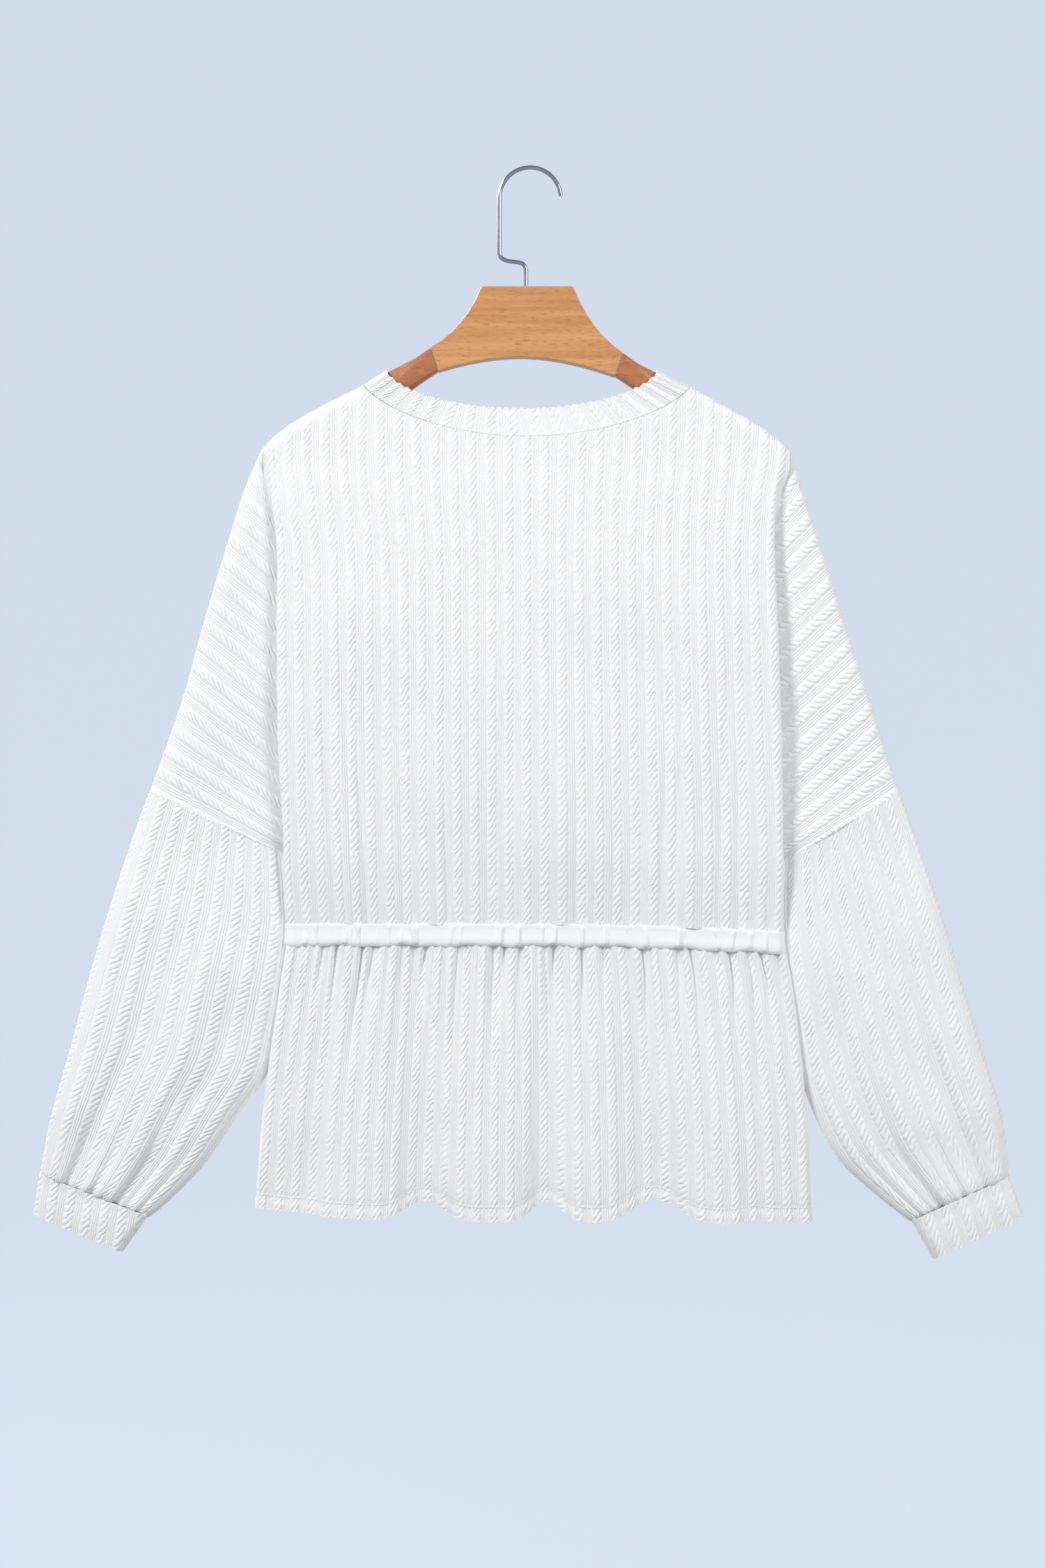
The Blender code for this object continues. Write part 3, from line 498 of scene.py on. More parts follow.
def cable_group():
    """Rows of little twisted cables with fine ribs between, on cloth laid out in metres."""
    tree, given, result = new_group(
        "cable_knit",
        (
            ("Vector", "Cloth", None),
            ("Float", "Pitch", KNIT_PITCH),
            ("Float", "Cable width", KNIT_CABLE_WIDTH),
            ("Float", "Stroke length", KNIT_STROKE_LENGTH),
        ),
        (("Float", "Height"), ("Float", "Raised")),
    )
    split = tree.nodes.new("ShaderNodeSeparateXYZ")
    tree.links.new(given["Cloth"], split.inputs[0])
    across = split.outputs[0]
    along = split.outputs[1]
    wobble = calc(tree, "SUBTRACT", noise(tree, given["Cloth"], 140.0, 1.0), 0.5)
    across = calc(tree, "ADD", across, calc(tree, "MULTIPLY", wobble, 0.0018))
    wander = calc(tree, "SUBTRACT", noise(tree, given["Cloth"], 95.0, 1.0), 0.5)
    along = calc(tree, "ADD", along, calc(tree, "MULTIPLY", wander, 0.006))
    turns = calc(tree, "ADD", calc(tree, "DIVIDE", across, given["Pitch"]), 0.5)
    near = calc(tree, "SUBTRACT", calc(tree, "FRACT", turns), 0.5)
    near = calc(tree, "MULTIPLY", near, given["Pitch"])
    half = calc(tree, "MULTIPLY", given["Cable width"], 0.5)
    share = calc(tree, "DIVIDE", near, half)
    dome = calc(tree, "SUBTRACT", 1.0, ease(tree, calc(tree, "ABSOLUTE", share), 0.35, 1.1))
    held_share = calc(tree, "MINIMUM", calc(tree, "MAXIMUM", share, -1.0), 1.0)
    bend = calc(tree, "SINE", calc(tree, "MULTIPLY", held_share, math.pi / 2))
    slant = calc(tree, "MULTIPLY", bend, calc(tree, "MULTIPLY", half, 0.9))
    phase = calc(tree, "DIVIDE", calc(tree, "SUBTRACT", along, slant), given["Stroke length"])
    stroke = calc(tree, "ABSOLUTE", calc(tree, "SINE", calc(tree, "MULTIPLY", phase, math.pi)))
    stroke = calc(tree, "POWER", stroke, 0.8)
    depth = calc(tree, "MULTIPLY_ADD", noise(tree, given["Cloth"], 38.0, 1.0), 0.9, 0.1)
    cut = calc(tree, "SUBTRACT", 1.0, calc(tree, "MULTIPLY", calc(tree, "SUBTRACT", 1.0, stroke), depth))
    cable = calc(tree, "MULTIPLY", dome, cut)
    fine = calc(tree, "DIVIDE", near, calc(tree, "MULTIPLY", given["Pitch"], 0.125))
    rib = calc(tree, "COSINE", calc(tree, "MULTIPLY", fine, 2.0 * math.pi))
    rib = calc(tree, "MULTIPLY_ADD", rib, 0.17, 0.19)
    outside = ease(tree, calc(tree, "ABSOLUTE", share), 0.8, 1.05)
    rib = calc(tree, "MULTIPLY", rib, outside)
    loops = noise(tree, given["Cloth"], 900.0, 1.0)
    height = calc(tree, "ADD", calc(tree, "MAXIMUM", cable, rib), calc(tree, "MULTIPLY", loops, 0.16))
    tree.links.new(height, result["Height"])
    # The raised mask also paints shade into the grooves through the tone group.
    tree.links.new(cable, result["Raised"])
    return tree


def shaded_tone_group():
    """The soft uneven tone of brushed cotton, with painted shade: the raised mask picks the lit colour
    and leaves grooves and hollows the shaded colour.
    """
    tree, given, result = new_group(
        "tone_and_groove_shade",
        (
            ("Vector", "Place", None),
            ("Color", "Bright", (1, 1, 1, 1)),
            ("Color", "Deep", (1, 1, 1, 1)),
            ("Float", "Raised", 1.0),
        ),
        (("Color", "Colour"), ("Float", "Roughness")),
    )
    broad = noise(tree, given["Place"], 9.0, 2.0)
    fine = noise(tree, given["Place"], 600.0, 2.0)
    # Painted shade: three quarters of the colour share follows the raised mask, so grooves take the
    # darker shaded colour; the noise adds random tone.
    share = calc(tree, "MULTIPLY_ADD", given["Raised"], 0.75, calc(tree, "MULTIPLY", broad, 0.25))
    share = calc(tree, "MULTIPLY_ADD", fine, 0.15, calc(tree, "MULTIPLY", share, 0.9))
    tree.links.new(blend_colour(tree, share, given["Deep"], given["Bright"]), result["Colour"])
    tree.links.new(calc(tree, "MULTIPLY_ADD", fine, 0.12, 0.84), result["Roughness"])
    return tree


def raise_surface(tree, shader, height, distance):
    bump = tree.nodes.new("ShaderNodeBump")
    bump.inputs["Distance"].default_value = distance
    tree.links.new(height, bump.inputs["Height"])
    tree.links.new(bump.outputs[0], shader.inputs["Normal"])


def cloth_layout(tree):
    """Where a point lies on the flat cloth, from the piece's own UV map."""
    layout = tree.nodes.new("ShaderNodeUVMap")
    layout.uv_map = "cloth"
    return layout.outputs[0]


def tone_and_shade_cloth(tree, shader, place, lit_colour, deep, painted_light_share):
    # Painted shade: the colour runs from the shaded colour in hollows to the lit colour on raised cloth.
    tone = place_group(
        tree, tone_and_groove_shade, Place=place, Bright=(*lit_colour, 1.0), Deep=(*deep, 1.0), Raised=painted_light_share
    )
    tree.links.new(tone["Colour"], shader.inputs["Base Color"])
    tree.links.new(tone["Roughness"], shader.inputs["Roughness"])


def knit_material(name, lit_colour, deep):
    """Soft cotton knit with rows of cables, the grooves between them darkened with painted shade."""
    material, tree, shader = new_material(name)
    place = cloth_layout(tree)
    cloth = place_group(
        tree,
        cables,
        Cloth=place,
        Pitch=KNIT_PITCH,
        Cable_width=KNIT_CABLE_WIDTH,
        Stroke_length=KNIT_STROKE_LENGTH,
    )
    # Painted shade: the cables' raised mask makes the grooves between them darker.
    tone_and_shade_cloth(tree, shader, place, lit_colour, deep, cloth["Raised"])
    raise_surface(tree, shader, cloth["Height"], KNIT_BUMP)
    shader.inputs["Sheen Weight"].default_value = 0.25
    shader.inputs["Sheen Roughness"].default_value = 0.6
    shader.inputs["Specular IOR Level"].default_value = 0.25
    return material


def plain_material(name, lit_colour, deep):
    """Smooth woven cloth with a very fine weave, its hollows darkened with painted shade."""
    material, tree, shader = new_material(name)
    place = cloth_layout(tree)
    split = tree.nodes.new("ShaderNodeSeparateXYZ")
    tree.links.new(place, split.inputs[0])
    warp = calc(tree, "SINE", calc(tree, "MULTIPLY", split.outputs[0], 2.0 * math.pi / WEAVE_PITCH))
    weft = calc(tree, "SINE", calc(tree, "MULTIPLY", split.outputs[1], 2.0 * math.pi / WEAVE_PITCH))
    weave = calc(tree, "MULTIPLY_ADD", calc(tree, "MULTIPLY", warp, weft), 0.25, 0.5)
    # Painted shade: the weave's hollows take the darker colour.
    tone_and_shade_cloth(tree, shader, place, lit_colour, deep, weave)
    raise_surface(tree, shader, weave, WEAVE_BUMP)
    shader.inputs["Sheen Weight"].default_value = 0.15
    shader.inputs["Specular IOR Level"].default_value = 0.3
    return material


def wood_group():
    """Straight-grained beech: long soft bands and short dark flecks along the grain."""
    tree, given, result = new_group(
        "beech_grain",
        (
            ("Vector", "Place", None),
            ("Color", "Light wood", (1, 1, 1, 1)),
            ("Color", "Dark wood", (1, 1, 1, 1)),
            ("Color", "Fleck", (0, 0, 0, 1)),
        ),
        (("Color", "Colour"), ("Float", "Roughness"), ("Float", "Height")),
    )
    bands = noise(tree, stretched(tree, given["Place"], (4.0, 60.0, 90.0)), 1.6, 4.0)
    bands = ease(tree, bands, 0.32, 0.7)
    lines = noise(tree, stretched(tree, given["Place"], (18.0, 300.0, 700.0)), 1.5, 2.0)
    flecks = noise(tree, stretched(tree, given["Place"], (150.0, 1500.0, 1500.0)), 1.0, 0.0)
    flecks = ease(tree, flecks, 0.62, 0.74)
    base = blend_colour(tree, bands, given["Light wood"], given["Dark wood"])
    soft = calc(tree, "MULTIPLY", ease(tree, lines, 0.45, 0.75), 0.35)
    base = blend_colour(tree, soft, base, given["Dark wood"])
    base = blend_colour(tree, calc(tree, "MULTIPLY", flecks, 0.45), base, given["Fleck"])
    tree.links.new(base, result["Colour"])
    tree.links.new(calc(tree, "MULTIPLY_ADD", lines, 0.15, 0.33), result["Roughness"])
    tree.links.new(calc(tree, "SUBTRACT", lines, calc(tree, "MULTIPLY", flecks, 0.5)), result["Height"])
    return tree


def wood_material(name, light, dark, fleck):
    material, tree, shader = new_material(name)
    place = tree.nodes.new("ShaderNodeTexCoord").outputs["Object"]
    wood = place_group(
        tree, beech, Place=place, Light_wood=(*light, 1.0), Dark_wood=(*dark, 1.0), Fleck=(*fleck, 1.0)
    )
    tree.links.new(wood["Colour"], shader.inputs["Base Color"])
    tree.links.new(wood["Roughness"], shader.inputs["Roughness"])
    raise_surface(tree, shader, wood["Height"], GRAIN_BUMP)
    shader.inputs["Coat Weight"].default_value = 0.25
    shader.inputs["Coat Roughness"].default_value = 0.3
    return material


def chrome_material():
    material, tree, shader = new_material("chrome_wire")
    place = tree.nodes.new("ShaderNodeTexCoord").outputs["Object"]
    haze = noise(tree, place, 220.0, 3.0)
    tree.links.new(calc(tree, "MULTIPLY_ADD", haze, 0.12, 0.1), shader.inputs["Roughness"])
    shade = blend_colour(tree, haze, (0.24, 0.25, 0.27), (0.36, 0.37, 0.4))
    tree.links.new(shade, shader.inputs["Base Color"])
    shader.inputs["Metallic"].default_value = 1.0
    return material


cables = cable_group()
tone_and_groove_shade = shaded_tone_group()
beech = wood_group()
# Each cloth's second, darker colour is the painted shade of its grooves and hollows.
knit = knit_material("cable_knit_cloth", (0.9, 0.9, 0.897), (0.87, 0.87, 0.875))
plain_cloth = plain_material("casing_cloth", (0.89, 0.89, 0.89), (0.84, 0.84, 0.845))
thread = plain_material("sewing_thread", (0.93, 0.93, 0.93), (0.85, 0.85, 0.86))
centre_wood = wood_material("centre_beech", (0.66, 0.32, 0.115), (0.52, 0.22, 0.07), (0.28, 0.1, 0.035))
arm_wood = wood_material("arm_beech", (0.46, 0.165, 0.055), (0.34, 0.11, 0.035), (0.18, 0.055, 0.02))
wire_chrome = chrome_material()


# The bodice

def fold_section(down, side, weight, gusset):
    """Sections (rows, points, across and depth) that follow the body's edge at each height."""
    edge = fold_x[side](down)
    deep = body_depth(down) * thinning(1.0)
    tuck = tuck_width(down)
    thin = wing_depth(down)
    middle = (deep + thin) / 2
    roll = (deep - middle) / 2
    folded = []
    for angle in (60.0, 120.0, 180.0):
        turn = math.radians(angle)
        folded.append((edge - roll + roll * math.sin(turn), middle + roll + roll * math.cos(turn)))
    inner = edge - roll - tuck
    folded.append((inner, middle))
    for angle in (60.0, 120.0, 180.0):
        turn = math.radians(angle)
        radius = (middle - thin) / 2
        folded.append((inner - radius * math.sin(turn), thin + radius * (1.0 + math.cos(turn))))
    plain = []
    for k in range(1, 8):
        share = k / 7
        turn = math.radians(90.0) * share
        step = (edge - FOLD_ROLL + FOLD_REACH * share, lerp(deep, thin, share))
        closed = (
            edge - FOLD_ROLL + FOLD_ROLL * math.sin(turn),
            lerp(HALF_SEAM_GAP, deep, math.cos(turn)),
        )
        plain.append([lerp(a, b, gusset) for a, b in zip(step, closed)])
    return np.array(
        [[lerp(a, b, weight) for a, b in zip(p, f)] for p, f in zip(plain, folded)]
    ).transpose(2, 0, 1)


def through_points(keys, count):
    """More columns on a smooth curve through a few, along the second axis."""
    places = np.linspace(0.0, keys.shape[1] - 1.0, count)
    k = np.clip(places.astype(int), 0, keys.shape[1] - 2)
    t = (places - k)[None, :, None]
    before = 2 * keys[:, :1] - keys[:, 1:2]
    after = 2 * keys[:, -1:] - keys[:, -2:-1]
    padded = np.concatenate((before, keys, after), axis=1)
    a, b, c, d = (padded[:, k + n] for n in range(4))
    return 0.5 * (
        2 * b + (c - a) * t + (2 * a - 5 * b + 4 * c - d) * t ** 2 + (3 * b - a - 3 * c + d) * t ** 3
    )


BODY_COLUMNS = 252
BODY_ROWS = 84
TOP_DROPS = (0.0, 0.8, 2.0, 4.0, 6.5, 9.0)
FOLD_POINTS = 22
UNDERARM_SHARE = 0.865


def body_heights(top, bottom):
    first = top - TOP_DROPS[-1]
    lower = [lerp(first, bottom, k / BODY_ROWS) for k in range(1, BODY_ROWS + 1)]
    return np.array([top - drop for drop in TOP_DROPS] + lower)


def lower_shares():
    return np.array([0.0] * len(TOP_DROPS) + [k / BODY_ROWS for k in range(1, BODY_ROWS + 1)])


def waist_pull(u, z, facing):
    """Little pleats that the casing's elastic draws into the cloth just above it."""
    gathers = BACK_GATHERS if facing == BACK else FRONT_GATHERS
    above = z - waist_z(u)
    fade = np.exp(-clamp(above / 400.0) * 400.0 / 30.0)
    pleats = sum(np.exp(-((u * 1.03 - x) / 4.2) ** 2) for x in gathers)
    return -1.5 * np.minimum(pleats, 1.0) * fade


SoftFold = namedtuple("SoftFold", "top_x top_z low_x low_z width height")
BODY_FOLDS = (
    SoftFold(-166.0, -300.0, -150.0, -600.0, 13.0, 2.0),
    SoftFold(-128.0, -330.0, -120.0, -600.0, 10.0, -1.8),
    SoftFold(-70.0, -420.0, -78.0, -610.0, 11.0, 1.6),
    SoftFold(-22.0, -430.0, -30.0, -610.0, 10.0, -1.5),
    SoftFold(30.0, -410.0, 24.0, -610.0, 12.0, 1.6),
    SoftFold(92.0, -330.0, 84.0, -610.0, 12.0, -1.8),
    SoftFold(142.0, -280.0, 132.0, -600.0, 13.0, 2.2),
    SoftFold(178.0, -300.0, 176.0, -590.0, 9.0, -1.8),
)


CREASES = (
    SoftFold(-171.0, -370.0, -158.0, -606.0, 2.3, -1.5),
    SoftFold(-163.0, -380.0, -149.5, -606.0, 2.0, -1.6),
    SoftFold(-155.0, -350.0, -141.0, -606.0, 2.4, -1.5),
    SoftFold(-146.0, -400.0, -131.0, -606.0, 2.0, -2.0),
    SoftFold(-104.0, -470.0, -100.0, -606.0, 2.2, -1.2),
    SoftFold(-72.0, -430.0, -66.0, -606.0, 2.2, -1.8),
    SoftFold(-14.0, -350.0, -13.0, -606.0, 2.4, -1.7),
    SoftFold(42.0, -460.0, 40.0, -606.0, 2.2, -1.2),
    SoftFold(76.0, -420.0, 70.0, -606.0, 2.3, -1.6),
    SoftFold(118.0, -360.0, 108.0, -606.0, 2.2, -1.7),
    SoftFold(128.0, -380.0, 119.0, -606.0, 2.4, -1.4),
    SoftFold(164.0, -340.0, 156.0, -606.0, 2.3, -1.8),
    SoftFold(176.0, -330.0, 170.0, -606.0, 2.1, -1.4),
)


def body_folds(x, z):
    """Long soft folds and narrow creases that the casing draws up into the body."""
    total = 0.0 * x
    for crease in CREASES:
        share = clamp((crease.top_z - z) / (crease.top_z - crease.low_z))
        away = x - lerp(crease.top_x, crease.low_x, share)
        width = crease.width * np.where(away < 0.0, 0.8, 2.2)
        total = total + crease.height * np.exp(-(away / width) ** 2) * smooth(share * 1.8)
    for fold in BODY_FOLDS:
        share = clamp((fold.top_z - z) / (fold.top_z - fold.low_z))
        place = lerp(fold.top_x, fold.low_x, share)
        width = fold.width * lerp(1.6, 0.8, share)
        total = total + fold.height * np.exp(-((x - place) / width) ** 2) * smooth(share * 1.6)
    return total


def bodice(name, facing):
    cloth = Cloth(name, knit)
    u = np.linspace(-SHOULDER_HALF, SHOULDER_HALF, BODY_COLUMNS + 1)
    in_neck = np.abs(u) < NECK_HALF
    edge_top = both_sides(u, lambda side: shoulder_z[side](np.abs(u)))
    top = np.where(in_neck, neck_seam_z(u, facing), edge_top)
    z = body_heights(top, waist_z(u))
    share = np.abs(u) / SHOULDER_HALF
    spread = both_sides(u, lambda side: share * (fold_x[side](-z) - FOLD_ROLL))
    across = lerp(np.abs(u), spread, smooth((top - z) / TOP_SPREAD_DROP))
    depth = both_sides(u + 0.0 * z, lambda side: upper_depth(across, -z, side))
    x = np.sign(u) * across
    soft = ripple(x, z, 3 + facing, 150.0) * 1.6 * smooth((top - z) / 120.0)
    depth = depth + (soft + body_folds(x, z)) * (1.0 - share ** 6)
    relief = cable_relief(u + 0.0 * z) + waist_pull(u, z, facing)
    points = np.stack((x, facing * depth, z), axis=-1)
    uv = np.stack((-facing * u + 0.0 * z, z), axis=-1)
    grids = [points]
    uv_grids = [uv]
    reliefs = [relief]
    edges = {}
    for side in SIDES:
        fold = fold_strip(facing, side)
        body_edge = points[:, 0] if side == LEFT else points[:, -1]
        keys = np.concatenate((body_edge[:, None], fold), axis=1)
        strip = through_points(keys, FOLD_POINTS + 1)[:, 1:]
        edges[side] = strip[:, -1]
        joined = np.concatenate((body_edge[:, None], strip), axis=1)
        steps = np.linalg.norm(np.diff(joined, axis=1), axis=2)
        run = SHOULDER_HALF + np.cumsum(steps, axis=1)
        strip_uv = np.stack((-facing * side * run, strip[..., 2]), axis=-1)
        strip_relief = cable_relief(run) * 0.8
        strip_relief[:, -3:] = 0.0
        if side == LEFT:
            grids.insert(0, strip[:, ::-1])
            uv_grids.insert(0, strip_uv[:, ::-1])
            reliefs.insert(0, strip_relief[:, ::-1])
        else:
            grids.append(strip)
            uv_grids.append(strip_uv)
            reliefs.append(strip_relief)
    full, full_uv, full_relief = (np.concatenate(a, axis=1) for a in (grids, uv_grids, reliefs))
    outward = 1.0 if facing == FRONT else -1.0
    cloth.add(full, full_uv, full_relief, outward)
    for side in SIDES:
        wing(cloth, facing, side, edges[side], outward)
    return cloth


def fold_strip(facing, side):
    """The fold's own points at every height, before they are made finer."""
    heights = body_heights(shoulder_z[side](SHOULDER_HALF), waist_z(side * SHOULDER_HALF))
    shares = lower_shares()
    rows = [row.share for row in FOLD_WEIGHT]
    weight = np.interp(shares, rows, [row.weight for row in FOLD_WEIGHT])
    gusset = smooth((shares - 0.8) / (UNDERARM_SHARE - 0.8))
    section = fold_section(-heights, side, weight, gusset)
    columns = np.arange(1, 8) / 7
    top_across = SHOULDER_HALF + FOLD_REACH * columns
    drops = shoulder_z[side](SHOULDER_HALF) - heights
    top_height = shoulder_z[side](top_across)[None, :] - drops[:, None]
    top_depth = upper_depth(top_across[None, :], -top_height, side)
    top_depth = np.minimum(top_depth, lerp(10.0, 8.0, columns)[None, :] + HALF_SEAM_GAP)
    change = smooth((drops - TOP_DROPS[-1]) / 34.0)[:, None]
    across = lerp(top_across[None, :], section[..., 0], change)
    depth = lerp(top_depth, section[..., 1], change)
    height = lerp(top_height, heights[:, None] + 0.0 * across, change)
    return np.stack((side * across, facing * depth, height), axis=-1)


WING_LINES = 128
WING_STEPS = 44
WING_TOP_DROP = 250.0
WING_CABLES = 16
WING_RELIEF_SHARE = 0.1
TIP_LINES = 6


def wing(cloth, facing, side, edge, outward):
    """The dropped shoulder: lines from the sleeve's top edge in to the fold, as the cables run."""
    line = np.linspace(0.0, 1.0, WING_LINES + 1)[:, None]
    underarm_row = len(TOP_DROPS) + int(UNDERARM_SHARE * BODY_ROWS) - 1
    edge = edge[:underarm_row + 1]
    start_down = lerp(OUTLINE[0].down, SLEEVE_SEAM_OUTER_DROP, line)
    start_x = outline_x[side](start_down)
    end_down = lerp(WING_TOP_DROP, -edge[-1, 2] - 2.0, 1.0 - (1.0 - line) ** 1.3)
    end_x = np.interp(end_down, -edge[:, 2], np.abs(edge[:, 0]))
    end_depth = np.interp(end_down, -edge[:, 2], np.abs(edge[:, 1])) - HALF_SEAM_GAP
    s = 0.5 - 0.5 * np.cos(math.pi * np.linspace(0.0, 1.0, WING_STEPS + 1))[None, :]
    length = np.hypot(start_x - end_x, end_down - start_down)
    rise = np.sqrt(1.0 - (1.0 - clamp(s * length / OUTER_ROUNDING)) ** 2)
    middle = lerp(7.0, 8.5, clamp(line * 4.0))
    inward = lerp(middle, end_depth, smooth(s))
    rounding = np.sqrt(1.0 - (1.0 - clamp((1.0 - s) * length / INNER_ROUNDING)) ** 2)
    rounded = lerp(end_depth, middle, rounding)
    inward = lerp(inward, rounded, smooth((line - 0.75) * 4.0))
    depth = HALF_SEAM_GAP + rise * inward
    across = lerp(start_x, end_x, s)
    height = -lerp(start_down, end_down, s)
    inside = np.sin(math.pi * s) ** 0.5
    depth = depth + ripple(across, height, 17 * side + 5 * facing + 40, 95.0) * 1.5 * inside * rise
    points = np.stack((side * across, facing * depth, height), axis=-1)
    position = line * WING_CABLES * CABLE_PITCH + 0.0 * s
    top_down = lerp(-edge[0, 2], WING_TOP_DROP, s[0])
    tip_x, tip_y = (np.interp(top_down, -edge[:, 2], edge[:, k]) for k in (0, 1))
    tip = np.stack((tip_x, tip_y, -top_down), axis=-1)
    extra = np.linspace(0.0, 1.0, TIP_LINES, endpoint=False)[:, None, None]
    points = np.concatenate((lerp(tip[None], points[:1], extra), points))
    s = s + 0.0 * line
    s, length, rise = (
        np.concatenate((np.repeat(a[:1], TIP_LINES, axis=0), a)) for a in (s, length, rise)
    )
    before = np.linspace(-0.6 * CABLE_PITCH, 0.0, TIP_LINES, endpoint=False)[:, None] + 0.0 * s[:1]
    position = np.concatenate((before, position))
    uv = np.stack((facing * position, side * s * length), axis=-1)
    relief = WING_RELIEF_SHARE * cable_relief(position)
    relief = relief * np.minimum(1.0, 6.0 * rise * (1.0 - s ** 8))
    cloth.add(points, uv, relief * np.minimum(1.0, s * length / 6.0), outward * -side)


# The neckband

BAND_STEPS = 134
BAND_ROWS = 12


def neckband():
    cloth = Cloth("neckband", knit)
    u = np.linspace(-NECK_HALF, NECK_HALF, BAND_STEPS + 1)
    u = NECK_HALF * np.sin(u / NECK_HALF * math.pi / 2)
    columns = []
    for facing, line in ((BACK, u), (FRONT, u[::-1][1:-1])):
        share = line / NECK_HALF
        top_x = BAND_TOP_CENTRE + BAND_TOP_HALF * share
        top_z = BAND_TOP_Z - BACK_BAND_DROP * clamp(1.0 - share * share) ** 0.6
        top_z = top_z - neck_drop(np.abs(share), facing)
        seam_z = neck_seam_z(line, facing)
        run = np.stack((top_x - line, top_z - seam_z), axis=-1)
        run = run / np.linalg.norm(run, axis=1, keepdims=True)
        seam_x = line + run[:, 0] * SEAM_GAP
        seam_z = seam_z + run[:, 1] * SEAM_GAP
        shares = np.linspace(1.0, 0.0, BAND_ROWS + 1)[:, None]
        x = lerp(seam_x, top_x, shares)
        z = lerp(seam_z, top_z, shares)
        depth = both_sides(x, lambda side: upper_depth(np.abs(x), -z, side))
        depth = np.where(np.abs(line) >= NECK_HALF - 1e-6, 0.0, depth)
        scallop = 0.8 * np.cos(2.0 * math.pi * line / SCALLOP_PITCH)
        z = z + np.where(shares > 0.95, scallop, 0.0)
        columns.append(np.stack((x, facing * depth, z, shares + 0.0 * z), axis=-1))
    ring = np.concatenate(columns, axis=1)
    share = ring[..., 3]
    count = ring.shape[1]
    position = np.arange(count)[None, :] / count * BAND_CABLES * CABLE_PITCH + 0.0 * share
    top_roll = 0.9 * ridge(share, 0.97, 0.06)
    seam_roll = 1.6 * ridge(share, 0.09, 0.07)
    groove = -0.9 * ridge(share, 0.23, 0.06)
    uv = np.stack((position, share * BAND_WIDTH), axis=-1)
    relief = cable_relief(position) * 0.4 * smooth(share * 4.0 - 0.8)
    relief = relief + top_roll + seam_roll + groove
    cloth.add(ring[..., :3], uv, relief, 1.0, closed=True)
    return cloth


# Sleeves and cuffs

SLEEVE_ROWS = 84
SLEEVE_STEPS = 76
Tuck = namedtuple("Tuck", "share width reach depth")
CUFF_TUCKS = (
    Tuck(0.1, 4.2, 46.0, 2.4),
    Tuck(0.22, 4.6, 74.0, 3.6),
    Tuck(0.33, 3.8, 44.0, 2.6),
    Tuck(0.45, 4.8, 90.0, 4.0),
    Tuck(0.56, 3.8, 56.0, 2.8),
    Tuck(0.67, 4.6, 80.0, 3.8),
    Tuck(0.78, 4.0, 50.0, 2.6),
    Tuck(0.89, 4.2, 62.0, 2.8),
)
LongFold = namedtuple("LongFold", "top bottom first last width height")
LONG_FOLDS = (
    LongFold(0.34, 0.3, 0.3, 1.0, 13.0, -2.4),
    LongFold(0.62, 0.52, 0.15, 0.95, 15.0, 2.4),
    LongFold(0.8, 0.72, 0.35, 1.0, 11.0, -2.2),
    LongFold(0.16, 0.14, 0.5, 1.0, 10.0, 1.8),
)


def sleeve_depth(from_outer, from_inner, depth):
    """Half the thickness of the flattened sleeve at a distance from its two edges."""
    outer = np.sqrt(1.0 - (1.0 - clamp(from_outer / OUTER_ROUNDING)) ** 2)
    inner = np.sqrt(1.0 - (1.0 - clamp(from_inner / INNER_ROUNDING)) ** 2)
    return HALF_SEAM_GAP + depth * outer * inner


def ring_shares(count):
    """Shares of a tube's width for its back and then its front, closer at the two edges."""
    half = 0.5 - 0.5 * np.cos(math.pi * np.linspace(0.0, 1.0, count + 1))
    return half, half[::-1][1:-1]


